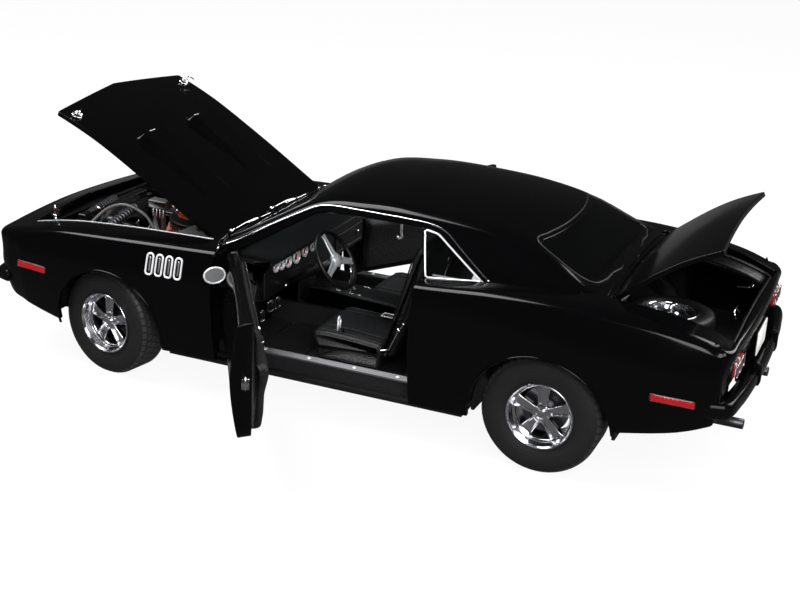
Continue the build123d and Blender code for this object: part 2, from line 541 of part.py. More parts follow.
with BuildPart() as engine:
    add(block((-8.0, -92.0, 14.0), (8.0, -48.0, 31.0)))
    add(block((-6.0, -46.8 - 1.3, 14.0), (6.0, -41.2, 27.0)))
    for side in (-1, 1):
        head = Rot(0, side * 42, 0) * Box(11.0, 40.0, 10.0, mode=Mode.PRIVATE)
        add(Pos(side * 10.5, -70.0, 32.0) * head)
        add(Pos(side * 20.0, -70.0, 30.0) * Box(4.0, 38.0, 4.0, mode=Mode.PRIVATE))
    add(block((-7.0, -86.0, 30.0), (7.0, -54.0, 37.0)))
    with Locations((0, -70.0, 38.5)):
        Cylinder(4.0, 4.0)
    with Locations(Pos(0, -94.0, 27.0) * Rot(90, 0, 0)):
        Cylinder(4.0, 4.4)
save(engine, "engine_block")

with BuildPart() as cleaner:
    with Locations((0, -70.0, 42.8)):
        Cylinder(12.6, 4.4)
    with Locations((0, -70.0, 45.3)):
        Cylinder(10.8, 0.8)
save(cleaner, "air_cleaner")

with BuildPart() as fan:
    hub = Pos(0, -98.4, 29.0) * Rot(90, 0, 0)
    add(hub * Cylinder(2.2, 4.2, mode=Mode.PRIVATE))
    for n in range(6):
        add(hub * Rot(0, 0, n * 60) * Pos(5.6, 0, 0) * Rot(24, 0, 0) * Box(8.0, 2.8, 0.7, mode=Mode.PRIVATE))
save(fan, "cooling_fan")

with BuildPart() as services:
    with Locations((-22.35, -97.0, 33.0)):
        Box(10.5, 13.0, 11.0)
    with Locations(Pos(20.0, -43.65, 39.0) * Rot(90, 0, 0)):
        Cylinder(5.4, 6.0)
    with Locations((20.0, -50.6, 40.2)):
        Box(4.6, 8.0, 5.0)
    with Locations((22.6, -96.0, 32.5)):
        Box(10.0, 9.0, 10.0)
save(services, "battery_and_tanks")
print("bay done")

# nose and tail dress
with BuildPart() as grille:
    add(block((-GRILLE_HALF + SEAT, -120.6, GRILLE_Z[0] + SEAT),
              (GRILLE_HALF - SEAT, -119.4, GRILLE_Z[1] - SEAT)))
    for n in range(5):
        z = GRILLE_Z[0] + 1.5 + n * 1.4
        add(block((-20.0, -124.4, z), (20.0, -120.6, z + 0.5)))
    for n in range(7):
        x = -20.0 + n * 20.0 / 3
        add(block((x - 0.4, -124.8, GRILLE_Z[0] + 0.6), (x + 0.4, -120.6, GRILLE_Z[1] - 0.6)))
save(grille, "grille")

with BuildPart() as lamps:
    for x in (-36.2, -26.0, 26.0, 36.2):
        with Locations(Pos(x, -122.2, sum(GRILLE_Z) / 2) * Rot(90, 0, 0)):
            Cylinder(4.1, 3.0)
save(lamps, "headlamps")

for label, side in (("tail_lamp_left", 1), ("tail_lamp_right", -1)):
    with BuildPart() as lamp:
        low = (LAMP_X[0] + SEAT, TAIL_INNER_Y + SEAT, LAMP_Z[0] + SEAT)
        high = (LAMP_X[1] - 1.6, 127.4, LAMP_Z[1] - SEAT)
        body = block(low, high)
        add(body if side > 0 else mirror(body, about=Plane.YZ, mode=Mode.PRIVATE))
    save(lamp, label)

PLATE_Y = (127.4, 128.2)
with BuildPart() as plate:
    add(block((-8.4, PLATE_Y[0], 34.6), (8.4, PLATE_Y[1], 42.4)))
    add(block((-2.0, 126.0, 36.0), (2.0, PLATE_Y[0], 40.0)) - shell)
save(plate, "number_plate")

# driveline, springs, pipes
HUB_SHOULDER = 2.2
FRONT_SHOULDER = 39.6
REAR_SHOULDER = 35.1
SPINDLE_SHORT = 3.9  # from the tyre's outer face in to the spindle's end
SPINDLE = HUB_BORE - FIT
KNUCKLE_PIN = 0.9
ARM_LEVELS = ((13.5, 14.6), (21.8, 22.9))


def across(x0, x1, radius, y, z):
    """A round bar lying across the car."""
    return Pos((x0 + x1) / 2, y, z) * Rot(0, 90, 0) * Cylinder(radius, abs(x1 - x0), mode=Mode.PRIVATE)


with BuildPart() as front_arms:
    for z_low, z_high in ARM_LEVELS:
        arm = plan_prism([(WELL_FRONT_X - 3, FRONT_AXLE_Y - 5), (KINGPIN_X + 1.5, FRONT_AXLE_Y - 1.2),
                          (KINGPIN_X + 1.5, FRONT_AXLE_Y + 1.2), (WELL_FRONT_X - 3, FRONT_AXLE_Y + 5)],
                         z_low, z_high)
        arm -= Pos(KINGPIN_X, FRONT_AXLE_Y, 18) * Cylinder(KNUCKLE_PIN + FIT, 20, mode=Mode.PRIVATE)
        add(both_sides(arm))
    add(both_sides(block((24.8, FRONT_AXLE_Y - 4, ARM_LEVELS[0][0]),
                         (27.5, FRONT_AXLE_Y + 4, ARM_LEVELS[1][1]))))
save(front_arms, "front_control_arms")

knuckle = Pos(KINGPIN_X, FRONT_AXLE_Y, FRONT_TYRE[0]) * Cylinder(1.7, 7.0, mode=Mode.PRIVATE)
knuckle += Pos(KINGPIN_X, FRONT_AXLE_Y, FRONT_TYRE[0]) * Cylinder(KNUCKLE_PIN, 9.4, mode=Mode.PRIVATE)
knuckle += across(KINGPIN_X, FRONT_SHOULDER - SEAT, HUB_SHOULDER, FRONT_AXLE_Y, FRONT_TYRE[0])
spindle_end = FRONT_WHEEL_X + FRONT_TYRE[1] / 2 - SPINDLE_SHORT
knuckle += across(KINGPIN_X, spindle_end, SPINDLE, FRONT_AXLE_Y, FRONT_TYRE[0])
for label, side in (("knuckle_left", 1), ("knuckle_right", -1)):
    with BuildPart() as upright:
        straight = knuckle if side > 0 else mirror(knuckle, about=Plane.YZ, mode=Mode.PRIVATE)
        add(opened(straight, (side * KINGPIN_X, FRONT_AXLE_Y, 0), -STEER, (0, 0, 1)))
    save(upright, label)

REAR_Z = REAR_TYRE[0]
with BuildPart() as axle:
    reach = REAR_WHEEL_X + REAR_TYRE[1] / 2 - SPINDLE_SHORT
    add(across(-REAR_SHOULDER + SEAT, REAR_SHOULDER - SEAT, HUB_SHOULDER, REAR_AXLE_Y, REAR_Z))
    add(across(-reach, reach, SPINDLE, REAR_AXLE_Y, REAR_Z))
    with Locations((0, REAR_AXLE_Y, REAR_Z)):
        Sphere(5.6)
    with Locations(Pos(0, REAR_AXLE_Y - 7.0, REAR_Z) * Rot(90, 0, 0)):
        Cylinder(1.8, 8.0)
save(axle, "rear_axle")

with BuildPart() as springs:
    leaf = side_prism([(52.0, 25.6), (52.0, 24.4), (REAR_AXLE_Y, 14.6), (98.0, 24.4), (98.0, 25.6),
                       (REAR_AXLE_Y, 16.4)], 28.4, 31.2)
    add(both_sides(leaf))
save(springs, "leaf_springs")

with BuildPart() as tank:
    with Locations((0, 108.0, 22.2)):
        Box(40.0, 22.0, 12.2)
save(tank, "fuel_tank")

with BuildPart() as exhaust:
    for side in (-1, 1):
        for y_low, y_high, radius in ((-60.0, 46.0, 1.4), (12.0, 36.0, 3.0)):
            with Locations(Pos(side * 16.0, (y_low + y_high) / 2, 8.9) * Rot(90, 0, 0)):
                Cylinder(radius, y_high - y_low)
        with Locations(Pos(side * 22.8, 112.0, 18.4) * Rot(90, 0, 0)):
            Cylinder(1.5, 34.0)
        with Locations((side * 22.8, 106.0, 23.9)):
            Box(1.2, 2.0, 9.0)
save(exhaust, "exhaust")

with BuildPart() as shaft:
    with Locations(Pos(0, 12.0, 10.2) * Rot(90, 0, 0)):
        Cylinder(1.7, 100.0)
    with Locations((0, -50.0, 9.9)):
        Box(11.0, 26.0, 4.0)
    with Locations((0, -84.0, 9.6)):
        Box(15.0, 30.0, 4.4)
save(shaft, "driveline")
print("underside done")

# boot
SPARE_AT = (-13.7, 96.8)
with BuildPart() as spare:
    with Locations((*SPARE_AT, 33.6)):
        Cylinder(14.6, 7.4)
        Cylinder(8.6, 7.6, mode=Mode.SUBTRACT)
    with Locations((*SPARE_AT, 31.2)):
        Cylinder(8.6, 2.6)
save(spare, "spare_wheel")

with BuildPart() as wells:
    well = across(WELL_REAR_X + 0.1, 45.4, 22.6, REAR_AXLE_Y, 17.6)
    well += block((WELL_REAR_X + 0.1, REAR_AXLE_Y - 22.6, 13.6), (45.4, REAR_AXLE_Y + 22.6, 17.6))
    well -= across(WELL_REAR_X + 1.2, 60.0, 21.6, REAR_AXLE_Y, 17.6)
    well -= block((WELL_REAR_X + 1.2, REAR_AXLE_Y - 21.6, 0), (60, REAR_AXLE_Y + 21.6, 17.6))
    well -= block((30, 0, -20), (60, 140, 14.8))
    well -= block((30, 0, 0), (WELL_REAR_X + 1.2, BULKHEAD_Y + 0.1, 60))
    well -= block((30, REAR_AXLE_Y - 2.8, 0), (WELL_REAR_X + 1.3, REAR_AXLE_Y + 2.8, REAR_TYRE[0] + 2.8))
    add(both_sides(well))
save(wells, "rear_wheel_wells")

# wheels
def tyre_solid(radius, width):
    """A tyre about the x axis, centred."""
    h = width / 2
    points = [(-h + 0.9, RIM_RADIUS + FIT), (-h + 0.2, LIP_RADIUS + 0.4), (-h, radius - 3.2),
              (-h + 0.4, radius - 1.0),
              (-h + 1.5, radius), (h - 1.5, radius), (h - 0.4, radius - 1.0), (h, radius - 3.2),
              (h - 0.3, LIP_RADIUS + 0.5), (h - 1.0, LIP_RADIUS + 0.2), (h - 1.0, RIM_RADIUS + FIT)]
    with BuildPart() as ring:
        with BuildSketch(Plane.XY):
            with BuildLine():
                Polyline(*points, close=True)
            make_face()
        revolve(axis=Axis.X)
    return ring.part


def rim_solid(width, shoulder):
    """A five-spoke rim about the x axis with its hub bored blind from the inside, and its brake disc."""
    h = width / 2
    face = h - 3.2
    inner = RIM_RADIUS - 1.1
    points = [(-h + 0.9, inner), (-h + 0.9, RIM_RADIUS), (h - 1.0 + FIT, RIM_RADIUS),
              (h - 1.0 + FIT, LIP_RADIUS), (h - 0.5, LIP_RADIUS), (h - 0.5, LIP_RADIUS - 1.1),
              (face, inner - 0.5), (face - 2.4, inner - 0.5),
              (face - 4.0, inner)]
    with BuildPart() as rim:
        with BuildSketch(Plane.XY):
            with BuildLine():
                Polyline(*points, close=True)
            make_face()
        revolve(axis=Axis.X)
        add(across(shoulder, face + 0.6, 3.4, 0, 0))
        add(across(shoulder, shoulder + 1.2, 7.4, 0, 0))
        for n in range(5):
            spoke = Pos(face - 1.0, 0, 5.6) * Box(2.0, 4.6, 7.6, mode=Mode.PRIVATE)
            add(spoke.rotate(Axis.X, n * 72))
        bore = across(shoulder - 1, face - 0.5, HUB_BORE, 0, 0)
        add(bore, mode=Mode.SUBTRACT)
    return rim.part


for label, x, y, size, steer, shoulder in (
    ("front_left", FRONT_WHEEL_X, FRONT_AXLE_Y, FRONT_TYRE, STEER, FRONT_SHOULDER - FRONT_WHEEL_X),
    ("front_right", -FRONT_WHEEL_X, FRONT_AXLE_Y, FRONT_TYRE, STEER, FRONT_SHOULDER - FRONT_WHEEL_X),
    ("rear_left", REAR_WHEEL_X, REAR_AXLE_Y, REAR_TYRE, 0, REAR_SHOULDER - REAR_WHEEL_X),
    ("rear_right", -REAR_WHEEL_X, REAR_AXLE_Y, REAR_TYRE, 0, REAR_SHOULDER - REAR_WHEEL_X),
):
    for kind, solid in (("tyre", tyre_solid(*size)), ("rim", rim_solid(size[1], shoulder))):
        placed = Pos(abs(x), y, size[0]) * solid
        if x < 0:
            placed = mirror(placed, about=Plane.YZ, mode=Mode.PRIVATE)
        if steer:
            placed = opened(placed, (math.copysign(KINGPIN_X, x), y, 0), -steer, (0, 0, 1))
        with BuildPart() as piece:
            add(placed)
        save(piece, f"{kind}_{label}")
print("wheels done")
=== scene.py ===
import json
import math
import bmesh
import bpy
import numpy as np
from mathutils import Matrix

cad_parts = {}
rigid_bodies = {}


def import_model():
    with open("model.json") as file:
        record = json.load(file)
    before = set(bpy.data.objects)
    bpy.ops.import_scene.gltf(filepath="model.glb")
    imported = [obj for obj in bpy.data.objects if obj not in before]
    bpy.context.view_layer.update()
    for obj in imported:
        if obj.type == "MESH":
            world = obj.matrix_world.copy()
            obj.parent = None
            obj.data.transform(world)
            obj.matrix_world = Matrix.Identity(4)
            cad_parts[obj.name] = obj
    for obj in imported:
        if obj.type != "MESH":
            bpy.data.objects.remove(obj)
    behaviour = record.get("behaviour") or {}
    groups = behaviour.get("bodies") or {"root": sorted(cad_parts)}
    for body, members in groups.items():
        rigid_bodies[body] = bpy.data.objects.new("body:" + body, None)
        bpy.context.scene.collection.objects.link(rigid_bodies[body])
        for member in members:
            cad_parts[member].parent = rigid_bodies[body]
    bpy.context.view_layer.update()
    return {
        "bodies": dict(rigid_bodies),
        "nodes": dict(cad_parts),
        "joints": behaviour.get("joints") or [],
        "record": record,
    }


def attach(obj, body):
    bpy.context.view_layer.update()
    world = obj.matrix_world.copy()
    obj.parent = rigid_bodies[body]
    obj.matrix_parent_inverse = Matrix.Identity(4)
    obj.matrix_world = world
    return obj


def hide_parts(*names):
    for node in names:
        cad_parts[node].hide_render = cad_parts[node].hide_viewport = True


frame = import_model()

nodes = frame["nodes"]
mm = 0.001  # the shapes below are worked out in millimetres


class Wire:
    # one output socket; arithmetic on it adds Math nodes to its tree
    def __init__(self, tree, socket):
        self.tree = tree
        self.socket = socket

    def maths(self, operation, *values):
        node = self.tree.nodes.new("ShaderNodeMath")
        node.operation = operation
        for slot, value in zip(node.inputs, values):
            plug(self.tree, slot, value)
        return Wire(self.tree, node.outputs[0])


def arithmetic(operation, swapped=False):
    def apply(self, other):
        return self.maths(operation, *((other, self) if swapped else (self, other)))
    return apply


for name, operation in (("add", "ADD"), ("sub", "SUBTRACT"), ("mul", "MULTIPLY"),
                        ("truediv", "DIVIDE"), ("pow", "POWER"), ("gt", "GREATER_THAN"),
                        ("lt", "LESS_THAN")):
    setattr(Wire, f"__{name}__", arithmetic(operation))
    if name in ("add", "sub", "mul"):
        setattr(Wire, f"__r{name}__", arithmetic(operation, True))


def plug(tree, slot, value):
    if isinstance(value, Wire):
        tree.links.new(value.socket, slot)
    else:
        slot.default_value = value


class Finish:
    # a material under construction: add() takes a node type, its settings, then its sockets
    def __init__(self, name):
        self.material = bpy.data.materials.new(name)
        self.material.use_nodes = True
        self.tree = self.material.node_tree
        self.tree.nodes.clear()

    def add(self, kind, settings=None, sockets=None, output=0):
        node = self.tree.nodes.new(kind)
        for key, value in (settings or {}).items():
            if key == "stops":
                fillRamp(node.color_ramp, value)
            else:
                setattr(node, key, value)
        for key, value in (sockets or {}).items():
            plug(self.tree, node.inputs[key], value)
        return Wire(self.tree, node.outputs[output])

    def place(self):
        return self.add("ShaderNodeTexCoord", output=3)

    def noise(self, scale, detail=3.0, rough=0.5, at=None):
        return self.add("ShaderNodeTexNoise", None,
                        {"Vector": at or self.place(), "Scale": scale, "Detail": detail,
                                                      "Roughness": rough})

    def cells(self, scale, feature="F1", at=None):
        return self.add("ShaderNodeTexVoronoi", {"feature": feature},
                        {"Vector": at or self.place(), "Scale": scale})

    def blendColour(self, factor, first, second):
        node = self.tree.nodes.new("ShaderNodeMix")
        node.data_type = "RGBA"
        plug(self.tree, node.inputs[0], factor)
        plug(self.tree, node.inputs[6], first)
        plug(self.tree, node.inputs[7], second)
        return Wire(self.tree, node.outputs[2])

    def bump(self, height, strength, distance):
        return self.add("ShaderNodeBump", None, {"Strength": strength, "Distance": distance,
                                                 "Height": height})

    def surface(self, sockets):
        shader = self.add("ShaderNodeBsdfPrincipled", None, sockets)
        self.finish(shader)
        return self.material

    def finish(self, shader):
        out = self.tree.nodes.new("ShaderNodeOutputMaterial")
        self.tree.links.new(shader.socket, out.inputs[0])
        return self.material


def fillRamp(ramp, stops):
    while len(ramp.elements) < len(stops):
        ramp.elements.new(0.5)
    for element, (position, colour) in zip(ramp.elements, stops):
        element.position = position
        element.color = colour


def grey(value, alpha=1.0):
    return (value, value, value, alpha)


def darker(colour, share):
    return tuple(c * share for c in colour[:3]) + (1,)


paintLook = {"colour": (0.0011, 0.0011, 0.0013, 1), "gloss": 0.09, "orangePeel": 0.02,
             "dust": 0.008, "spec": 0.16}


def gloss(name, look):
    f = Finish(name)
    peel = f.noise(900.0, 1.0)
    haze = f.noise(60.0, 4.0)
    speck = f.noise(5200.0, 1.0) > 0.79
    return f.surface({
        "Base Color": f.blendColour(speck * look["dust"], look["colour"], grey(0.3)),
        "Roughness": haze * 0.08 + look["gloss"],
        "Specular IOR Level": look.get("spec", 0.10),
        "Coat Weight": 0.0,
        "Normal": f.bump(peel, look["orangePeel"], 0.0002)})


def metal(name, colour, rough, grainStretch=(1, 1, 1), grain=0.02, scale=700.0, share=1.0):
    f = Finish(name)
    at = f.add("ShaderNodeMapping", None, {"Vector": f.place(), "Scale": grainStretch})
    streak = f.noise(scale, 3.0, 0.6, at)
    cloud = f.noise(120.0, 2.0)
    return f.surface({
        "Base Color": f.blendColour(cloud * 0.25, colour, darker(colour, 0.82)),
        "Metallic": share,
        "Roughness": streak * 0.12 + cloud * 0.05 + rough,
        "Normal": f.bump(streak, grain, 0.0001)})


def moulded(name, colour, rough, grain, scale, lift=0.15, spec=0.4):
    # moulded plastic or rubber with a fine leathery grain and a slightly paler wear
    f = Finish(name)
    pebble = f.cells(scale, "F1")
    fine = f.noise(scale * 2.3, 3.0, 0.7)
    cloud = f.noise(45.0, 3.0)
    paler = tuple(min(1.0, c * (1.0 + lift * 6) + lift * 0.02) for c in colour[:3]) + (1,)
    return f.surface({
        "Base Color": f.blendColour(cloud * fine, colour, paler),
        "Roughness": fine * 0.18 + rough,
        "Specular IOR Level": spec,
        "Normal": f.bump(pebble * 0.6 + fine * 0.5, grain, 0.0003)})


def pane(name, tint, clear, rough=0.02):
    # a see-through sheet: it reflects more towards its edges of view, and darkens what is behind it
    f = Finish(name)
    through = f.add("ShaderNodeBsdfTransparent", None, {"Color": tint})
    shine = f.add("ShaderNodeBsdfPrincipled", None, {"Base Color": grey(0.01), "Roughness": rough,
                                                     "Specular IOR Level": 0.6})
    rim = f.add("ShaderNodeFresnel", None, {"IOR": 1.45})
    smear = f.noise(90.0, 3.0)
    mixed = f.add("ShaderNodeMixShader", None, {"Fac": rim * 0.8 + smear * 0.02 + (1 - clear)})
    node = mixed.socket.node
    f.tree.links.new(through.socket, node.inputs[1])
    f.tree.links.new(shine.socket, node.inputs[2])
    return f.finish(mixed)


def lens(name, colour, ribs=2600.0):
    f = Finish(name)
    at = f.add("ShaderNodeMapping", None, {"Vector": f.place(), "Scale": (1, 1, 1)})
    prism = f.cells(ribs, "F1", at)
    return f.surface({
        "Base Color": f.blendColour(prism, colour, darker(colour, 0.45)),
        "Roughness": 0.08, "Coat Weight": 0.6, "Specular IOR Level": 0.6,
        "Normal": f.bump(prism, 0.35, 0.0003)})


blackPaint = gloss("blackPaint", paintLook)
bumperPaint = gloss("bumperPaint", {"colour": (0.002, 0.002, 0.0022, 1), "gloss": 0.12,
                                    "orangePeel": 0.02,
                                    "dust": 0.05})
chrome = metal("chrome", (0.80, 0.80, 0.82, 1), 0.04, grain=0.03)
wheelChrome = metal("wheelChrome", (0.74, 0.74, 0.77, 1), 0.07, grain=0.05, scale=420.0)
# painted reflection: a pale chrome only partly metallic, so its diffuse colour stands in for the
# bright reflections of real chrome
paintedShineTrim = metal("paintedShineTrim", (0.86, 0.86, 0.88, 1), 0.16, grain=0.03, share=0.42)
# painted sheen: a pale metal only partly metallic, so its diffuse colour stands in for part of the
# metal's reflections
silverPaintedSheen = metal("silverPaintedSheen", (0.62, 0.63, 0.65, 1), 0.26, grain=0.08, share=0.55)
steel = metal("bareSteel", (0.42, 0.42, 0.44, 1), 0.28, grain=0.06)
darkSteel = metal("darkSteel", (0.10, 0.10, 0.11, 1), 0.35, grain=0.08)
aluminium = metal("brushedSill", (0.10, 0.10, 0.105, 1), 0.42, (60, 1, 60), 0.1, 90.0, 0.7)
brass = metal("brassRivet", (0.74, 0.60, 0.34, 1), 0.25)
vinyl = moulded("seatVinyl", (0.005, 0.005, 0.006, 1), 0.36, 0.9, 1500.0, 0.1, 0.5)
panelVinyl = moulded("panelVinyl", (0.0025, 0.0025, 0.003, 1), 0.42, 0.6, 1700.0, 0.04, 0.25)
carpet = moulded("carpet", (0.004, 0.004, 0.005, 1), 0.6, 1.0, 2600.0, 0.12, 0.3)
satinBlack = moulded("satinBlack", (0.003, 0.003, 0.003, 1), 0.34, 0.2, 900.0, 0.04, 0.4)
chassisBlack = moulded("chassisBlack", (0.004, 0.004, 0.004, 1), 0.45, 0.4, 600.0, 0.04, 0.3)
bayBlack = moulded("bayBlack", (0.0018, 0.0018, 0.002, 1), 0.2, 0.12, 500.0, 0.03, 0.4)
tyreRubber = moulded("tyreRubber", (0.003, 0.003, 0.003, 1), 0.4, 0.35, 900.0, 0.03, 0.3)
hoseRubber = moulded("hoseRubber", (0.004, 0.004, 0.004, 1), 0.28, 0.2, 900.0, 0.04, 0.5)
enginePaint = gloss("enginePaint", {"colour": (0.34, 0.045, 0.014, 1), "gloss": 0.22,
                                    "orangePeel": 0.06, "dust": 0.1})
redLens = lens("redLens", (0.34, 0.006, 0.008, 1))
amberLens = lens("amberLens", (0.8, 0.28, 0.03, 1))
clearLens = lens("clearLens", (0.78, 0.80, 0.82, 1), 1800.0)
plateWhite = moulded("plateWhite", (0.72, 0.72, 0.70, 1), 0.3, 0.08, 700.0, 0.02, 0.5)
windowGlass = pane("windowGlass", (0.80, 0.84, 0.84, 1), 0.97)
rearGlass = pane("rearGlass", (0.42, 0.46, 0.46, 1), 0.95)
print("finishes ready")


def smoothTrack(knots, values, at):
    # Catmull-Rom curve through (knots, values), evaluated at any array
    knots = np.asarray(knots, float)
    values = np.asarray(values, float)
    slope = np.gradient(values, knots)
    at = np.clip(at, knots[0], knots[-1])
    i = np.clip(np.searchsorted(knots, at, side="right") - 1, 0, len(knots) - 2)
    span = knots[i + 1] - knots[i]
    t = (at - knots[i]) / span
    return ((2 * t**3 - 3 * t**2 + 1) * values[i] + (t**3 - 2 * t**2 + t) * span * slope[i]
            + (3 * t**2 - 2 * t**3) * values[i + 1] + (t**3 - t**2) * span * slope[i + 1])


def gridFaces(rows, columns, closeRows=False, closeColumns=False):
    # quads of a grid numbered row by row
    r = np.arange(rows if closeRows else rows - 1)
    c = np.arange(columns if closeColumns else columns - 1)
    a, b = np.meshgrid(r, c, indexing="ij")
    a2, b2 = (a + 1) % rows, (b + 1) % columns
    return np.stack([a * columns + b, a2 * columns + b, a2 * columns + b2, a * columns + b2],
                    -1).reshape(-1, 4)


def gridNormals(points):
    # cross product of the two grid directions, unit length; points is rows by columns by 3
    du = np.gradient(points, axis=0)
    dv = np.gradient(points, axis=1)
    n = np.cross(du, dv)
    return n / np.maximum(np.linalg.norm(n, axis=-1, keepdims=True), 1e-12)


def triangles(quads):
    return np.concatenate([quads[:, [0, 1, 2]], quads[:, [0, 2, 3]]])


def trimmed(points, normals, faces, keep):
    # cuts a triangle mesh along keep = 0, with keep given at the points: crossed edges get a new
    # point where keep would be nought, shared by the two triangles of the edge
    inside = keep > 0
    count = inside[faces].sum(1)
    whole = faces[count == 3]
    newFaces = [whole]
    extra, extraN = [], []
    start = len(points)
    for wanted in (1, 2):
        crossed = faces[count == wanted]
        if not len(crossed):
            continue
        odd = inside[crossed] if wanted == 1 else ~inside[crossed]
        first = odd.argmax(1)
        row = np.arange(len(crossed))
        a, b, c = (crossed[row, (first + k) % 3] for k in range(3))
        ends = []
        for other in (b, c):
            low, high = np.minimum(a, other), np.maximum(a, other)
            t = keep[low] / (keep[low] - keep[high])
            t = np.clip(t, 0.001, 0.999)[:, None]
            extra.append(points[low] * (1 - t) + points[high] * t)
            extraN.append(normals[low] * (1 - t) + normals[high] * t)
            ends.append(start + np.arange(len(low)))
            start += len(low)
        if wanted == 1:
            newFaces.append(np.stack([a, ends[0], ends[1]], 1))
        else:
            newFaces.append(np.stack([b, c, ends[0]], 1))
            newFaces.append(np.stack([c, ends[1], ends[0]], 1))
    points = np.concatenate([points] + extra) if extra else points
    normals = np.concatenate([normals] + extraN) if extraN else normals
    return welded(points, normals, np.concatenate(newFaces))


def welded(points, normals, faces, grid=2e-4):
    # joins points that fall in the same tiny cell and drops the unused ones
    key = np.round(points / grid).astype(np.int64)
    _, first, back = np.unique(key, axis=0, return_index=True, return_inverse=True)
    back = back.reshape(-1)
    faces = back[faces]
    ok = (faces[:, 0] != faces[:, 1]) & (faces[:, 1] != faces[:, 2]) & (faces[:, 0] != faces[:, 2])
    faces = faces[ok]
    used, flat = np.unique(faces, return_inverse=True)
    n = normals[first][used]
    n = n / np.maximum(np.linalg.norm(n, axis=1, keepdims=True), 1e-12)
    return points[first][used], n, flat.reshape(faces.shape)


def openEdges(faces):
    # directed edges that belong to one triangle only
    edges = faces[:, [0, 1, 1, 2, 2, 0]].reshape(-1, 2)
    key = np.sort(edges, 1)
    _, back, count = np.unique(key, axis=0, return_inverse=True, return_counts=True)
    return edges[count[back.reshape(-1)] == 1]


def sheetSolid(points, normals, faces, wall, lip=0.25):
    # a skin with thickness: the outer sheet, its copy moved in along the normals by wall, and a rim
    # whose outer corner is rounded by lip. Returns points, normals and faces, rim normals separate
    edges = openEdges(faces)
    count = len(points)
    inner = points - normals * wall
    outward = np.zeros_like(points)
    along = points[edges[:, 1]] - points[edges[:, 0]]
    push = np.cross(along, normals[edges[:, 0]])
    np.add.at(outward, edges[:, 0], push)
    np.add.at(outward, edges[:, 1], push)
    length = np.linalg.norm(outward, axis=1, keepdims=True)
    outward = outward / np.maximum(length, 1e-12)
    ring = np.unique(edges)
    place = np.full(count, -1)
    place[ring] = np.arange(len(ring))
    angles = np.radians([0, 30, 60, 90])
    layers = [points[ring] + outward[ring] * lip * math.sin(a)
              - normals[ring] * lip * (1 - math.cos(a))
              for a in angles]
    layers.append(points[ring] + outward[ring] * lip - normals[ring] * (wall - lip * 0.5))
    layers.append(inner[ring])
    rimN = [normals[ring] * math.cos(a) + outward[ring] * math.sin(a) for a in angles]
    rimN.append(outward[ring])
    rimN.append(outward[ring] - normals[ring])
    base = 2 * count
    size = len(ring)
    rim = []
    e0, e1 = place[edges[:, 0]], place[edges[:, 1]]
    for k in range(len(layers) - 1):
        lo, hi = base + k * size, base + (k + 1) * size
        rim.append(np.stack([lo + e1, lo + e0, hi + e0], 1))
        rim.append(np.stack([lo + e1, hi + e0, hi + e1], 1))
    allPoints = np.concatenate([points, inner] + layers)
    allNormals = np.concatenate([normals, -normals] + rimN)
    allFaces = np.concatenate([faces, faces[:, ::-1] + count] + rim)
    return allPoints, allNormals, allFaces


def makePiece(name, points, faces, material, body, slot, normals=None, smooth=True, replaces=()):
    mesh = bpy.data.meshes.new(name)
    points = np.asarray(points, float) * mm
    mesh.from_pydata(points.tolist(), [], [tuple(int(i) for i in f) for f in faces])
    mesh.update()
    mesh.polygons.foreach_set("use_smooth", np.full(len(mesh.polygons), bool(smooth)))
    if normals is not None:
        length = np.maximum(np.linalg.norm(normals, axis=1, keepdims=True), 1e-12)
        mesh.normals_split_custom_set_from_vertices((normals / length).tolist())
    mesh.materials.append(material)
    piece = bpy.data.objects.new(name, mesh)
    bpy.context.scene.collection.objects.link(piece)
    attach(piece, body)
    if replaces:
        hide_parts(*replaces)
    return piece


def onCar(name, shape, material, slot, **extra):
    return makePiece(name, *shape, material, "car_body", slot, **extra)


def facedOut(piece):
    # turns every face of a closed piece outward
    shape = bmesh.new()
    shape.from_mesh(piece.data)
    bmesh.ops.recalc_face_normals(shape, faces=shape.faces[:])
    shape.to_mesh(piece.data)
    shape.free()


def flipped(faces):
    return [tuple(reversed(f)) for f in faces]


def smoothLine(points, count, last=None):
    # a smooth curve through points, up to its last point or to the place last, counted in points
    points = np.array(points, float)
    knots = np.arange(len(points))
    at = np.linspace(0, knots[-1] if last is None else last, count)
    return np.stack([smoothTrack(knots, points[:, k], at) for k in range(3)], 1)


def joined(*parts):
    # several (points, faces) meshes as one
    points, faces, start = [], [], 0
    for p, f in parts:
        points.append(np.asarray(p, float).reshape(-1, 3))
        faces.extend([tuple(int(i) + start for i in face) for face in f])
        start += len(points[-1])
    return np.concatenate(points), faces


def shifted(shape, offset):
    return np.asarray(shape[0], float) + offset, shape[1]


def lofted(rows, over=True):
    # a closed prism through sections: rows is sections by points by 3
    rows = np.array(rows)
    count, n = rows.shape[:2]
    faces = gridFaces(count, n, closeColumns=True)
    faces = flipped(faces) if over else [tuple(f) for f in faces]
    return rows.reshape(-1, 3), faces + [tuple(range(n)),
                                         tuple(reversed(range((count - 1) * n, count * n)))]


def mirrored(points, faces):
    return points * np.array([-1, 1, 1]), flipped(faces)


def turned(points, pivot, angle, axis):
    # rotates points by an angle in degrees about a line along axis through pivot
    turn = np.array(Matrix.Rotation(math.radians(angle), 3, axis))
    return (np.asarray(points) - pivot) @ turn.T + pivot


def softEdges(piece, width, segments=2, angle=35):
    # a bevel on the sharp edges, and smooth faces
    bevel = piece.modifiers.new("softEdges", "BEVEL")
    bevel.width = width * mm
    bevel.segments = segments
    bevel.limit_method = "ANGLE"
    bevel.angle_limit = math.radians(angle)
    bevel.harden_normals = True
    piece.data.polygons.foreach_set("use_smooth", np.full(len(piece.data.polygons), True))
    return piece


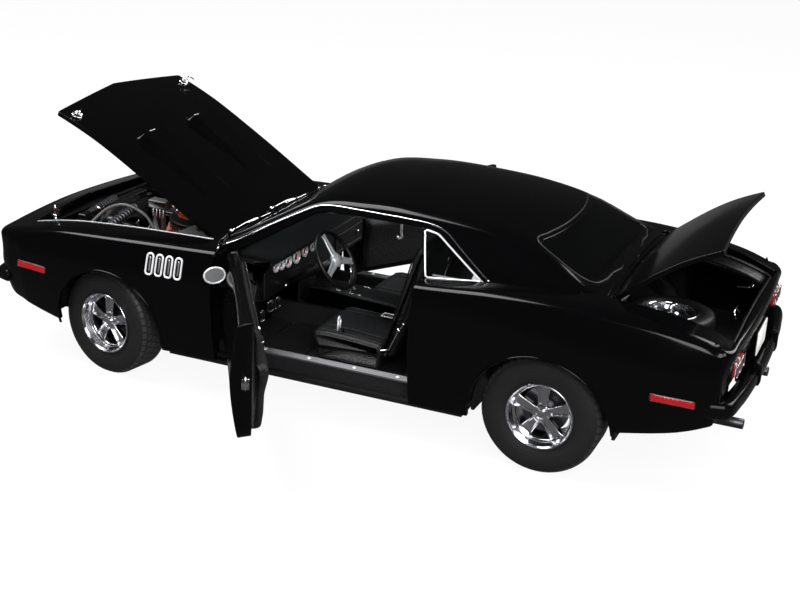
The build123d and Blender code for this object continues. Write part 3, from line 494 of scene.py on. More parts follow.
def spun(profile, steps, axis="X"):
    # turns a list of (along, radius) round an axis; the result is closed where the profile meets it
    profile = np.asarray(profile, float)
    angle = np.linspace(0, 2 * np.pi, steps, endpoint=False)
    along = np.repeat(profile[None, :, 0], steps, 0)
    radius = np.repeat(profile[None, :, 1], steps, 0)
    c, s = np.cos(angle)[:, None] * radius, np.sin(angle)[:, None] * radius
    columns = {"X": (along, c, s), "Y": (s, along, c), "Z": (c, s, along)}[axis]
    points = np.stack(columns, -1)
    return points.reshape(-1, 3), gridFaces(steps, len(profile), closeRows=True)


def spunY(profile, steps):
    points, faces = spun(profile, steps, "Y")
    return points, flipped(faces)


def closedSpinY(profile, steps):
    # a ring about Y: the profile's last point joins its first
    points, _ = spun(profile, steps, "Y")
    return points, flipped(gridFaces(steps, len(profile), closeRows=True, closeColumns=True))


def atX(x, line):
    # a line in y and z placed at one x
    return np.column_stack([np.full(len(line), x), line])


def boxShape(low, high):
    low, high = np.asarray(low, float), np.asarray(high, float)
    pick = np.array([[x, y, z] for x in (0, 1) for y in (0, 1) for z in (0, 1)])
    points = np.where(pick == 0, low, high)
    faces = [(0, 1, 3, 2), (4, 6, 7, 5), (0, 4, 5, 1), (2, 3, 7, 6), (0, 2, 6, 4), (1, 5, 7, 3)]
    return points, faces


def tube(path, radius, steps=10, closed=False):
    # a round section carried along a path; the frame is carried from point to point without twist
    path = np.asarray(path, float)
    ahead = np.gradient(path, axis=0)
    if closed:
        ahead = np.roll(path, -1, 0) - np.roll(path, 1, 0)
    ahead /= np.maximum(np.linalg.norm(ahead, axis=1, keepdims=True), 1e-12)
    side = np.cross(ahead[0], [0.31, 0.27, 0.91])
    sides = []
    for direction in ahead:
        side = side - direction * side.dot(direction)
        side = side / np.linalg.norm(side)
        sides.append(side)
    sides = np.array(sides)
    ups = np.cross(ahead, sides)
    angle = np.linspace(0, 2 * np.pi, steps, endpoint=False)
    radius = np.broadcast_to(np.asarray(radius, float), (len(path),))[:, None, None]
    ring = sides[:, None] * np.cos(angle)[None, :, None] + ups[:, None] * np.sin(angle)[None, :,
                                                                                        None]
    points = (path[:, None] + ring * radius).reshape(-1, 3)
    faces = [tuple(f) for f in gridFaces(len(path), steps, closeRows=closed, closeColumns=True)]
    if not closed:
        faces.append(tuple(range(steps)))
        faces.append(tuple(reversed(range(len(points) - steps, len(points)))))
    return points, faces


def rectangle(a0, a1, b0, b1):
    return [(a0, b0), (a1, b0), (a1, b1), (a0, b1)]


def roundedOutline(points, radius, steps=6):
    # a closed outline with each corner replaced by an arc of its own radius
    points = np.asarray(points, float)
    radius = np.broadcast_to(np.asarray(radius, float), (len(points),))
    out = []
    for i, corner in enumerate(points):
        before, after = points[i - 1], points[(i + 1) % len(points)]
        a = (before - corner) / np.linalg.norm(before - corner)
        b = (after - corner) / np.linalg.norm(after - corner)
        reach = min(radius[i], np.linalg.norm(before - corner) * 0.48,
                    np.linalg.norm(after - corner) * 0.48)
        t = np.linspace(0, 1, steps)[:, None]
        out.append((1 - t) ** 2 * (corner + a * reach) + 2 * t * (1 - t) * corner
                   + t**2 * (corner + b * reach))
    return np.concatenate(out)


def outlineDistance(u, v, outline):
    # signed distance from points (u, v) to a closed outline, positive inside
    flat = np.stack([u.ravel(), v.ravel()], 1)
    best = np.full(len(flat), 1e9)
    inside = np.zeros(len(flat), bool)
    for a, b in zip(outline, np.roll(outline, -1, 0)):
        d = b - a
        size = d.dot(d)
        if size < 1e-12:
            continue
        t = np.clip(((flat - a) @ d) / size, 0, 1)
        best = np.minimum(best, np.linalg.norm(flat - a - t[:, None] * d, axis=1))
        crosses = (a[1] > flat[:, 1]) != (b[1] > flat[:, 1])
        if a[1] != b[1]:
            inside ^= crosses & (flat[:, 0] < (b[0] - a[0]) * (flat[:, 1] - a[1]) / (b[1] - a[1])
                                 + a[0])
    return np.where(inside, best, -best).reshape(u.shape)


def extruded(outline, low, high, axis="X"):
    # a prism between two stations; the outline gives the other two coordinates in order
    outline = np.asarray(outline, float)
    n = len(outline)
    layers = []
    for station in (low, high):
        flat = np.full(n, float(station))
        a, b = outline[:, 0], outline[:, 1]
        layers.append(np.stack({"X": (flat, a, b), "Y": (a, flat, b), "Z": (a, b, flat)}[axis], 1))
    points = np.concatenate(layers)
    area = 0.5 * np.sum(outline[:, 0] * np.roll(outline[:, 1], -1)
                        - np.roll(outline[:, 0], -1) * outline[:, 1])
    sides = [(i, (i + 1) % n, n + (i + 1) % n, n + i) for i in range(n)]
    faces = sides + [tuple(reversed(range(n))), tuple(range(n, 2 * n))]
    if (area < 0) != (axis == "Y"):
        faces = flipped(faces)
    return points, faces


view = {"place": (413.64, 175.44, 192.3), "azimuth": 112.16, "elevation": 20.22, "roll": 2.84,
        "focal": 1390.0, "frameWidth": 800}


def makeCamera():
    az, el, roll = (math.radians(view[k]) for k in ("azimuth", "elevation", "roll"))
    ahead = np.array([-math.sin(az) * math.cos(el), math.cos(az) * math.cos(el), -math.sin(el)])
    level = np.cross(ahead, [0, 0, 1])
    level /= np.linalg.norm(level)
    up = np.cross(level, ahead)
    right = level * math.cos(roll) + up * math.sin(roll)
    top = -level * math.sin(roll) + up * math.cos(roll)
    data = bpy.data.cameras.new("photoCamera")
    data.sensor_width = 36.0
    data.sensor_fit = "HORIZONTAL"
    data.lens = view["focal"] / view["frameWidth"] * data.sensor_width
    data.clip_start, data.clip_end = 0.01, 20.0
    camera = bpy.data.objects.new("photoCamera", data)
    bpy.context.scene.collection.objects.link(camera)
    turn = Matrix([list(r) for r in np.stack([right, top, -ahead], 1)])
    camera.matrix_world = Matrix.Translation([v * mm for v in view["place"]]) @ turn.to_4x4()
    bpy.context.scene.camera = camera


lamps = {  # place in mm, size, power, what it points at
    "keySoftbox": ((120, -340, 620), 420, 7.0, (0, 0, 30)),
    "cameraSoftbox": ((560, 330, 420), 360, 4.5, (10, 10, 25)),
    "rearSoftbox": ((-380, 420, 420), 380, 3.5, (0, 40, 30))}


def makeLights():
    for name, (place, size, power, target) in lamps.items():
        data = bpy.data.lights.new(name, "AREA")
        data.shape = "SQUARE"
        data.size = size * mm
        data.energy = power
        lamp = bpy.data.objects.new(name, data)
        bpy.context.scene.collection.objects.link(lamp)
        place = np.array(place, float)
        away = place - np.array(target, float)
        lamp.matrix_world = Matrix.Translation([v * mm for v in place]) @ Matrix(
            [list(r) for r in lookFrame(away / np.linalg.norm(away))]).to_4x4()


def lookFrame(back):
    side = np.cross([0, 0, 1], back)
    side /= np.linalg.norm(side)
    return np.stack([side, np.cross(back, side), back], 1)


studio = {"fill": 0.42, "glossy": 0.035, "floorShine": 0.12, "floorSeen": 0.93,
          "floorColour": (0.90, 0.90, 0.90, 1)}


def makeWorld():
    world = bpy.data.worlds.new("studioWorld")
    bpy.context.scene.world = world
    world.use_nodes = True
    tree = world.node_tree
    tree.nodes.clear()
    path = tree.nodes.new("ShaderNodeLightPath")
    seen = Wire(tree, path.outputs["Is Camera Ray"])
    shine = Wire(tree, path.outputs["Is Glossy Ray"])
    through = Wire(tree, path.outputs["Is Transmission Ray"])
    direct = seen.maths("MAXIMUM", seen, through)
    level = direct * (1.0 - studio["fill"]) + studio["fill"]
    level = level + shine * (1 - direct) * (studio["glossy"] - studio["fill"])
    back = tree.nodes.new("ShaderNodeBackground")
    back.inputs[0].default_value = (1, 1, 1, 1)
    tree.links.new(level.socket, back.inputs[1])
    out = tree.nodes.new("ShaderNodeOutputWorld")
    tree.links.new(back.outputs[0], out.inputs[0])


def blended(f, under, over, share):
    mixed = f.add("ShaderNodeMixShader", None, {"Fac": share})
    f.tree.links.new(under.socket, mixed.socket.node.inputs[1])
    f.tree.links.new(over.socket, mixed.socket.node.inputs[2])
    return mixed


def makeFloor():
    f = Finish("studioFloor")
    path = f.tree.nodes.new("ShaderNodeLightPath")
    seen = Wire(f.tree, path.outputs["Is Camera Ray"])
    paper = f.add("ShaderNodeBsdfDiffuse", None, {"Color": studio["floorColour"]})
    pale = f.add("ShaderNodeEmission", None, {"Color": grey(1.0), "Strength": 1.0})
    dim = f.add("ShaderNodeEmission", None, {"Color": grey(studio["floorShine"]), "Strength": 1.0})
    shine = Wire(f.tree, path.outputs["Is Glossy Ray"])
    mixed = blended(f, paper, pale, seen * studio["floorSeen"])
    material = f.finish(blended(f, mixed, dim, shine))
    size = 4000.0
    points = np.array([[-size, -size, 0], [size, -size, 0], [size, size, 0], [-size, size, 0]]) * mm
    mesh = bpy.data.meshes.new("studioFloor")
    mesh.from_pydata(points.tolist(), [], [(0, 1, 2, 3)])
    mesh.materials.append(material)
    floor = bpy.data.objects.new("studioFloor", mesh)
    bpy.context.scene.collection.objects.link(floor)


makeCamera()
makeLights()
makeWorld()
makeFloor()
bpy.context.scene.view_settings.view_transform = "Standard"
print("camera, light and floor ready")


bodyShape = {
    # y, sill z, sill x, widest x, widest z, shoulder x, shoulder z, crown x, crown z, centre z
    "stations": [
        (-131.5, 25.0, 44.0, 46.6, 32.5, 45.2, 39.6, 41.5, 41.8, 43.2),
        (-118.0, 21.0, 46.0, 48.8, 34.2, 46.8, 43.2, 42.5, 45.2, 46.8),
        (-100.0, 16.6, 47.6, 50.6, 35.5, 48.0, 46.6, 43.0, 48.6, 50.1),
        (-78.0, 13.5, 48.4, 51.6, 36.5, 48.6, 48.2, 43.0, 50.3, 51.8),
        (-50.0, 13.5, 47.8, 51.0, 36.0, 48.3, 49.2, 43.5, 51.2, 52.6),
        (-30.0, 13.5, 47.4, 50.5, 35.5, 48.0, 49.6, 44.2, 51.6, 53.0),
        (5.0, 13.5, 47.2, 50.3, 35.2, 47.8, 49.8, 45.0, 51.6, 53.0),
        (32.0, 13.5, 47.8, 51.0, 36.0, 48.8, 51.0, 45.0, 53.0, 54.0),
        (55.0, 14.0, 48.6, 52.3, 37.5, 49.8, 52.8, 44.8, 55.2, 56.5),
        (74.0, 14.5, 49.0, 52.8, 38.0, 50.0, 53.4, 44.3, 56.0, 57.8),
        (95.0, 18.6, 48.6, 52.2, 37.5, 49.2, 52.2, 43.4, 55.0, 57.0),
        (115.0, 22.6, 47.0, 50.4, 36.5, 47.6, 49.4, 42.0, 51.9, 53.9),
        (131.5, 28.0, 44.5, 47.4, 35.0, 45.2, 43.6, 41.0, 45.8, 47.9)],
    "nosePlan": [(48.7, -116.5), (47.7, -120.8), (46.0, -124.0), (43.2, -125.7), (34.0, -127.0),
                 (20.0, -128.3)],
    "nosePeak": -129.4,
    "tailPlan": [(50.0, 117.0), (48.6, 122.0), (46.9, 125.6), (43.8, 127.3), (34.0, 128.1),
                 (20.0, 128.8)],
    "tailPeak": 129.2,
    "noseLean": [(14, 10.0), (19, 7.4), (24, 4.8), (31, 3.4), (43, 0.0), (60, 0.0)],
    "tailLean": [(14, 8.0), (22, 5.0), (28, 3.2), (38, 2.8), (49, 0.8), (60, 0.0)],
    "wall": 1.5, "skinLip": 0.22}
stationTable = np.array(bodyShape["stations"])


def station(column, y):
    return smoothTrack(stationTable[:, 0], stationTable[:, column], y)


def sideInset(y, z):
    # distance in from the widest line at height z: a power curve above it and another below it
    widest, wideZ = station(3, y), station(4, y)
    low = np.clip((wideZ - z) / (wideZ - station(1, y)), 0, 1.3)
    high = np.clip((z - wideZ) / (station(6, y) - wideZ), 0, 1.3)
    return (widest - station(2, y)) * low**1.6 + (widest - station(5, y)) * high**1.45


def topHeight(x, y):
    # the crown: highest on the centre line, falling outward by a power of the distance
    across = np.abs(x) / station(7, y)
    return station(9, y) - (station(9, y) - station(8, y)) * across**1.8


def perimeter(end, start, count):
    # plan line of the widest points from x > 0 round one end of the car to x < 0, evenly spaced
    name = "nose" if end < 0 else "tail"
    stretch = np.linspace(start, bodyShape[name + "Plan"][0][1], 30)[:-1]
    half = [(float(station(3, y)), float(y)) for y in stretch] + bodyShape[name + "Plan"]
    knots = np.array(half + [(0.0, bodyShape[name + "Peak"])]
                     + [(-x, y) for x, y in reversed(half)])
    along = np.concatenate([[0], np.cumsum(np.linalg.norm(np.diff(knots, axis=0), axis=1))])
    dense = np.linspace(0, along[-1], 4000)
    line = np.stack([smoothTrack(along, knots[:, 0], dense),
                     smoothTrack(along, knots[:, 1], dense)], 1)
    kernel = np.exp(-np.linspace(-2.2, 2.2, 41) ** 2)
    kernel /= kernel.sum()
    padded = np.concatenate([2 * line[0] - line[1:21][::-1], line,
                             2 * line[-1] - line[-21:-1][::-1]])
    line = np.stack([np.convolve(padded[:, k], kernel, "valid") for k in (0, 1)], 1)
    return line[np.linspace(0, len(line) - 1, count).astype(int)]


def hullSheet(plan, end, rows):
    # the skin over a plan line: rows 0-1 climb from sill to shoulder, 1-2 round the shoulder on a
    # quadratic curve, 2-3 run in over the crown to the centre line
    tangent = np.gradient(plan, axis=0)
    tangent /= np.linalg.norm(tangent, axis=1, keepdims=True)
    turn = -1.0 if end < 0 else 1.0
    outward = np.stack([turn * tangent[:, 1], -turn * tangent[:, 0]], 1)
    sideways = (outward[:, 0] ** 2)[:, None]
    y = plan[:, 1][:, None]
    lean = np.array(bodyShape["noseLean" if end < 0 else "tailLean"])
    def inset(z):
        return sideways * sideInset(y, z) + (1 - sideways) * smoothTrack(lean[:, 0], lean[:, 1], z)
    crownIn = sideways * (station(3, y) - station(7, y)) + (1 - sideways) * 3.2
    crownXY = plan[:, None, :] - outward[:, None, :] * crownIn[:, :, None]
    crownZ = topHeight(crownXY[..., 0], crownXY[..., 1])
    shoulderZ = sideways * station(6, y) + (1 - sideways) * (crownZ - 2.4)
    sill = station(1, y)
    side = rows[rows <= 1][None, :]
    bend = rows[(rows > 1) & (rows <= 2)][None, :] - 1
    top = rows[rows > 2][None, :] - 2
    sideZ = sill + (shoulderZ - sill) * side
    sideIn = inset(sideZ)
    slope = (inset(shoulderZ) - inset(shoulderZ - 0.5)) / 0.5
    kneeZ = crownZ - 0.10 * (crownIn - inset(shoulderZ))
    kneeIn = inset(shoulderZ) + slope * (kneeZ - shoulderZ)
    bendIn = (1 - bend) ** 2 * inset(shoulderZ) + 2 * bend * (1 - bend) * kneeIn + bend**2 * crownIn
    bendZ = (1 - bend) ** 2 * shoulderZ + 2 * bend * (1 - bend) * kneeZ + bend**2 * crownZ
    spine = np.stack([np.zeros(len(plan)), np.clip(plan[:, 1], -100, 100)], 1)[:, None, :]
    topXY = crownXY + (spine - crownXY) * top[..., None]
    topZ = topHeight(topXY[..., 0], topXY[..., 1])
    sideXY = plan[:, None, :] - outward[:, None, :] * sideIn[..., None]
    bendXY = plan[:, None, :] - outward[:, None, :] * bendIn[..., None]
    xy = np.concatenate([sideXY, bendXY, topXY], 1)
    z = np.concatenate([sideZ, bendZ, topZ], 1)
    return np.concatenate([xy, z[..., None]], -1)


def sheetMesh(points, flip=False):
    normals = gridNormals(points)
    faces = triangles(gridFaces(points.shape[0], points.shape[1]))
    if flip:
        faces, normals = faces[:, ::-1], -normals
    return points.reshape(-1, 3), normals.reshape(-1, 3), faces


def pointedOut(points, normals, faces, centre):
    # turns a sheet over if it faces its centre
    if ((points - centre) * normals).sum(1).mean() < 0:
        return points, -normals, faces[:, ::-1]
    return points, normals, faces


def archField(points, arch):
    # positive outside a wheel opening: a half circle standing on two upright sides
    y, z = points[:, 1] - arch[0], points[:, 2] - arch[1]
    return np.where(z > 0, np.hypot(y, z), np.abs(y)) - arch[2]


off = 9.0  # a distance that keeps everything, where a cut does not apply
archFrom = 36.0  # the wheel openings are cut outside this x
openings = {
    "frontArch": (-78.4, 17.6, 20.6), "rearArch": (72.8, 16.2, 22.6),
    "hoodHalf": 37.5, "hoodCorner": -114.0, "hoodPeak": -118.5, "hoodRear": -43.0, "cowl": -40.7,
    "deckHalf": 37.0, "deckTaper": 1.5, "deckFront": 88.4, "deckFrontCut": 86.9, "deckRear": 125.2,
    "gap": 0.7, "doorFront": -38.2, "doorRear": 30.5, "doorSill": 15.9, "doorCorner": 5.0,
    "doorInner": 44.6,
    "grille": ((-42.0, 30.4), (42.0, 39.4)), "tailLamp": ((27.0, 38.2), (42.6, 44.2))}


def hoodField(x, y, grow):
    # positive inside the hood's outline grown by grow
    o = openings
    peak = o["hoodPeak"] + (o["hoodCorner"] - o["hoodPeak"]) * np.abs(x) / o["hoodHalf"]
    rear = o["cowl"] if grow > 0 else o["hoodRear"]
    return np.minimum(np.minimum(o["hoodHalf"] + grow - np.abs(x), y - peak + grow), rear - y)


def deckField(x, y, grow):
    # positive inside the boot lid's outline grown by grow
    o = openings
    half = o["deckHalf"] - o["deckTaper"] * (y - o["deckFront"]) / (o["deckRear"] - o["deckFront"])
    front = o["deckFrontCut"] if grow > 0 else o["deckFront"]
    return np.minimum(np.minimum(half + grow - np.abs(x), y - front), o["deckRear"] + grow - y)


def cutSkin(mesh, fields):
    for field in fields:
        mesh = trimmed(*mesh, field(mesh[0]))
    return mesh


sheetRows = np.concatenate([np.linspace(0, 1, 34), np.linspace(1, 2, 10)[1:],
                            np.linspace(2, 3, 18)[1:]])


def endMesh(end, start):
    # the whole sheet of one end, before anything is cut out of it
    sheet = hullSheet(perimeter(end, start, 260), end, sheetRows)
    return pointedOut(*sheetMesh(sheet), np.array([0, end * 80, 20]))


noseMesh = endMesh(-1, openings["doorFront"])
tailMesh = endMesh(1, openings["doorRear"] + 0.3)


def makeFrontSkin():
    (x0, z0), (x1, z1) = openings["grille"]
    grille = roundedOutline(rectangle(x0, x1, z0, z1), 2.5)
    mesh = cutSkin(noseMesh, [
        lambda p: -hoodField(p[:, 0], p[:, 1], openings["gap"]),
        lambda p: np.where(np.abs(p[:, 0]) > archFrom, archField(p, openings["frontArch"]), off),
        lambda p: np.where(p[:, 1] < -112.0, -outlineDistance(p[:, 0], p[:, 2], grille), off),
        lambda p: np.maximum(np.abs(p[:, 0]) - openings["hoodHalf"] - openings["gap"],
                             openings["cowl"] - p[:, 1])])
    points, normals, faces = sheetSolid(*mesh, bodyShape["wall"], bodyShape["skinLip"])
    makePiece("frontSkin", points, faces, blackPaint, "car_body", "body_paint", normals,
              replaces=("nose_panel", "front_fender_left", "front_fender_right"))


def crownUp(points, normals, faces):
    # over the crown the normals are those of the height field itself
    x, y, z = points.T
    on = (np.abs(z - topHeight(x, y)) < 0.05) & (np.abs(x) < station(7, y) + 0.05)
    slopeX = (topHeight(x + 0.2, y) - topHeight(x - 0.2, y)) / 0.4
    slopeY = (topHeight(x, y + 0.2) - topHeight(x, y - 0.2)) / 0.4
    up = np.stack([-slopeX, -slopeY, np.ones(len(x))], 1)
    up /= np.linalg.norm(up, axis=1, keepdims=True)
    normals = np.where(on[:, None], up, normals)
    flat = np.cross(points[faces[:, 1]] - points[faces[:, 0]],
                    points[faces[:, 2]] - points[faces[:, 0]])
    wrong = on[faces].all(1) & (flat[:, 2] < 0)
    faces = np.where(wrong[:, None], faces[:, ::-1], faces)
    return points, normals, faces


def makeRearSkin():
    (x0, z0), (x1, z1) = openings["tailLamp"]
    lamp = roundedOutline(rectangle(x0, x1, z0, z1), 1.2)
    mesh = cutSkin(tailMesh, [
        lambda p: -deckField(p[:, 0], p[:, 1], openings["gap"]),
        lambda p: np.where(np.abs(p[:, 0]) > archFrom, archField(p, openings["rearArch"]), off),
        lambda p: np.where(p[:, 1] > 118.0, -outlineDistance(np.abs(p[:, 0]), p[:, 2], lamp), off),
        lambda p: np.maximum(np.abs(p[:, 0]) - 41.5, p[:, 1] - 80.0)])
    points, normals, faces = sheetSolid(*crownUp(*mesh), bodyShape["wall"], bodyShape["skinLip"])
    makePiece("rearSkin", points, faces, blackPaint, "car_body", "body_paint", normals,
              replaces=("quarter_panel_left", "quarter_panel_right", "tail_panel"))


hoodTurn = {"pivot": (0, -43.9, 49.0), "angle": -34.0}
deckTurn = {"pivot": (0, 90.2, 53.2), "angle": 45.0}
doorTurn = {"pivot": (49.1, -34.0, 0), "angle": -57.0}


def crownSheet(field, low, high, shape):
    # a patch of the crown over x and y, kept where the field is positive
    x = np.linspace(low[0], high[0], shape[0])
    y = np.linspace(low[1], high[1], shape[1])
    xx, yy = np.meshgrid(x, y, indexing="ij")
    points = np.stack([xx, yy, topHeight(xx, yy)], -1)
    mesh = sheetMesh(points)
    return trimmed(*mesh, field(mesh[0][:, 0], mesh[0][:, 1], 0.0))


def opened(points, normals, turn, axis="X"):
    pivot = np.array(turn["pivot"], float)
    return turned(points, pivot, turn["angle"], axis), turned(normals, np.zeros(3), turn["angle"],
                                                              axis)


scoop = {"inner": 8.0, "outer": 24.0, "front": -92.0, "rear": -58.0, "rise": 2.9}


def scoopLift(x, y):
    # a raised blister on each side: it rises sharply at its mouth and fades out rearward
    out = np.abs(x)
    across = np.clip(np.minimum(out - scoop["inner"], scoop["outer"] - out) / 2.2, 0, 1)
    across = across * across * (3 - 2 * across)
    length = (y - scoop["front"]) / (scoop["rear"] - scoop["front"])
    fade = np.clip(length * 22, 0, 1) * np.clip(1 - length, 0, 1) ** 0.9
    return scoop["rise"] * across * fade


def makeHood():
    mesh = crownSheet(hoodField, (-38.2, -119.0), (38.2, -42.6), (150, 140))
    points, normals, faces = mesh
    lift = scoopLift(points[:, 0], points[:, 1])
    step = 0.2
    slopeX = (scoopLift(points[:, 0] + step, points[:, 1]) - lift) / step
    slopeY = (scoopLift(points[:, 0], points[:, 1] + step) - lift) / step
    points = points + np.stack([np.zeros(len(lift)), np.zeros(len(lift)), lift], 1)
    normals = normals - np.stack([slopeX, slopeY, np.zeros(len(lift))], 1)
    normals /= np.linalg.norm(normals, axis=1, keepdims=True)
    points, normals, faces = sheetSolid(points, normals, faces, 1.6, 0.25)
    points, normals = opened(points, normals, hoodTurn)
    makePiece("hoodSkin", points, faces, blackPaint, "hood", "body_paint", normals,
              replaces=("hood",))


def makeDeck():
    mesh = crownSheet(deckField, (-37.6, 87.8), (37.6, 125.8), (110, 64))
    points, normals, faces = sheetSolid(*mesh, 1.6, 0.25)
    points, normals = opened(points, normals, deckTurn)
    makePiece("deckSkin", points, faces, blackPaint, "boot_lid", "body_paint", normals,
              replaces=("boot_lid",))


def doorSheet():
    # the part of the side sheet inside the door's outline, from the sill up to the inner plane
    y = np.linspace(openings["doorFront"] + 0.1, openings["doorRear"] - 0.1, 100)
    plan = np.stack([station(3, y), y], 1)[::-1]
    rows = np.concatenate([np.linspace(0, 1, 40), np.linspace(1, 2, 12)[1:],
                           np.linspace(2, 3, 60)[1:9]])
    mesh = pointedOut(*sheetMesh(hullSheet(plan, -1, rows)), np.array([0, 0, 30]))
    gap, o = openings["gap"], openings
    outline = roundedOutline([
        (o["doorFront"] + gap, o["doorSill"] + gap), (o["doorRear"] - gap, o["doorSill"] + gap),
        (o["doorRear"] - gap, 70.0), (o["doorFront"] + gap, 70.0)],
                             [0.8, o["doorCorner"], 0.5, 0.5])
    return cutSkin(mesh, [lambda p: outlineDistance(p[:, 1], p[:, 2], outline),
                          lambda p: p[:, 0] - o["doorInner"] - 0.02])


def makeDoors():
    points, normals, faces = doorSheet()
    count = len(points)
    solid, solidN, solidF = sheetSolid(points, normals, faces, 1.2, 0.3)
    inner = solid.copy()
    flat = np.zeros(len(solid), bool)
    flat[count:2 * count] = True
    ringSize = (len(solid) - 2 * count) // 6
    flat[-ringSize:] = True
    inner[flat, 0] = openings["doorInner"]
    solidN[count:2 * count] = (-1, 0, 0)
    placed, placedN = opened(inner, solidN, doorTurn, "Z")
    makePiece("doorSkinLeft", placed, solidF, blackPaint, "door_left", "body_paint", placedN,
              replaces=("door_left",))
    flip = np.array([-1, 1, 1])
    makePiece("doorSkinRight", placed * flip, solidF[:, ::-1], blackPaint, "door_right",
              "body_paint", placedN * flip, replaces=("door_right",))


roofShape = {
    # y, belt x, rail x, rail z, centre z
    "stations": [(-40.5, 42.5, 41.5, 50.8, 52.9), (-25.0, 43.4, 37.4, 58.8, 62.4),
                 (-9.0, 44.2, 32.9, 66.6, 71.4), (8.0, 44.4, 33.6, 68.4, 73.8),
                 (30.0, 45.0, 34.0, 68.2, 73.6), (48.0, 45.4, 34.2, 66.6, 72.2),
                 (61.0, 45.2, 34.4, 64.2, 69.4), (71.0, 44.6, 36.2, 60.6, 64.4),
                 (81.0, 44.0, 38.0, 56.6, 58.6), (90.0, 42.0, 40.0, 53.6, 56.0)],
    "beltZ": 45.0, "railIn": 6.5, "railShare": 0.60, "sideBulge": 0.7,
    "sideOpening": [(-34.5, 50.2), (-9.0, 65.9), (8.0, 67.0), (29.0, 66.9), (33.5, 66.1),
                    (51.2, 54.4), (31.0, 51.2), (31.0, 40.0), (-38.0, 40.0)],
    "quarterGlass": [(27.4, 66.3), (33.2, 65.6), (50.0, 54.9), (31.6, 52.0)],
    "frontScreen": [(-37.6, 53.2), (-29.5, 67.2), (29.5, 67.2), (37.6, 53.2)],
    "rearScreen": [(-34.2, 57.8), (-29.6, 66.6), (29.6, 66.6), (34.2, 57.8)]}
roofTable = np.array(roofShape["stations"])


def roofSheet(y, t):
    # a section at each y: t 0-1 climbs the side to the rail, 1-2 rounds the rail, 2-3 follows the
    # roof's crown to the centre line as a parabola
    track = [smoothTrack(roofTable[:, 0], roofTable[:, k], y)[:, None] for k in range(1, 5)]
    belt, rail, railZ, midZ = track
    r = roofShape
    edge = rail - r["railIn"]
    edgeZ = railZ + (midZ - railZ) * r["railShare"]
    side = t[t <= 1][None, :]
    bend = t[(t > 1) & (t <= 2)][None, :] - 1
    top = t[t > 2][None, :] - 2
    sx = belt + (rail - belt) * side + r["sideBulge"] * np.sin(np.pi * side) * (railZ
                                                                                - r["beltZ"]) / 23
    sz = r["beltZ"] + (railZ - r["beltZ"]) * side
    slope = (midZ - edgeZ) * 2 / edge
    kneeX = rail - 0.4
    kneeZ = edgeZ - slope * (kneeX - edge)
    bx = (1 - bend) ** 2 * rail + 2 * bend * (1 - bend) * kneeX + bend**2 * edge
    bz = (1 - bend) ** 2 * railZ + 2 * bend * (1 - bend) * kneeZ + bend**2 * edgeZ
    tx = edge * (1 - top)
    tz = midZ - (midZ - edgeZ) * (1 - top) ** 2
    x = np.concatenate([sx, bx, tx], 1)
    z = np.concatenate([sz, bz, tz], 1)
    return np.stack([x, np.broadcast_to(y[:, None], x.shape), z], -1)


def wholeRoof(inset=0.0):
    y = np.linspace(-40.5, 88.0, 190)
    t = np.concatenate([np.linspace(0, 1, 34), np.linspace(1, 2, 11)[1:],
                        np.linspace(2, 3, 18)[1:]])
    half = roofSheet(y, t)
    other = half[:, -2::-1] * np.array([-1, 1, 1])
    points = np.concatenate([half, other], 1)
    mesh = pointedOut(*sheetMesh(points), np.array([0, 20, 40]))
    return mesh[0] - mesh[1] * inset, mesh[1], mesh[2]


def makeRoof():
    side = roundedOutline(roofShape["sideOpening"], [2, 3, 8, 3, 1.5, 1.0, 0.5, 0.5, 0.5])
    front = roundedOutline(roofShape["frontScreen"], 3.0)
    rear = roundedOutline(roofShape["rearScreen"], 3.0)
    mesh = cutSkin(wholeRoof(), [
        lambda p: np.where(np.abs(p[:, 0]) > 24.0, -outlineDistance(p[:, 1], p[:, 2], side), off),
        lambda p: np.where(p[:, 1] < 0.0, -outlineDistance(p[:, 0], p[:, 2], front), off),
        lambda p: np.where(p[:, 1] > 50.0, -outlineDistance(p[:, 0], p[:, 2], rear), off),
        lambda p: p[:, 2] - np.where(p[:, 1] > 0, 50.0, 50.6)])
    points, normals, faces = sheetSolid(*mesh, 1.4, 0.3)
    makePiece("roofSkin", points, faces, blackPaint, "car_body", "body_paint", normals,
              replaces=("roof_and_pillars",))


def makeGlass():
    plans = {
        "windscreenPane": (roofShape["frontScreen"], 3.0, 0.3, lambda p: p[:, 1] < 0, (0, 2),
                           windowGlass,
                           "windscreen"),
        "rearPane": (roofShape["rearScreen"], 3.0, 0.3, lambda p: p[:, 1] > 50, (0, 2), rearGlass,
                     "rear_window"),
        "quarterPanes": (roofShape["quarterGlass"], 1.5, 0.2, lambda p: np.abs(p[:, 0]) > 24,
                         (1, 2), windowGlass,
                         "quarter_windows")}
    for name, (outline, corner, grow, where, axes, glass, node) in plans.items():
        shape = roundedOutline(outline, corner)
        mesh = wholeRoof(0.45)
        inside = outlineDistance(mesh[0][:, axes[0]], mesh[0][:, axes[1]], shape)
        keep = np.where(where(mesh[0]), inside + grow, -1.0)
        points, normals, faces = sheetSolid(*trimmed(*mesh, keep), 0.7, 0.15)
        makePiece(name, points, faces, glass, "car_body", "clear_glass", normals, replaces=(node,))


makeFrontSkin()
makeRearSkin()
makeHood()
makeDeck()
makeDoors()
makeRoof()
makeGlass()
print("body ready")


# placing trim on the sheets

def sideX(y, z):
    # the body's side at a height, where it faces straight out
    y, z = np.broadcast_arrays(np.asarray(y, float), np.asarray(z, float))
    return station(3, y) - sideInset(y, z)


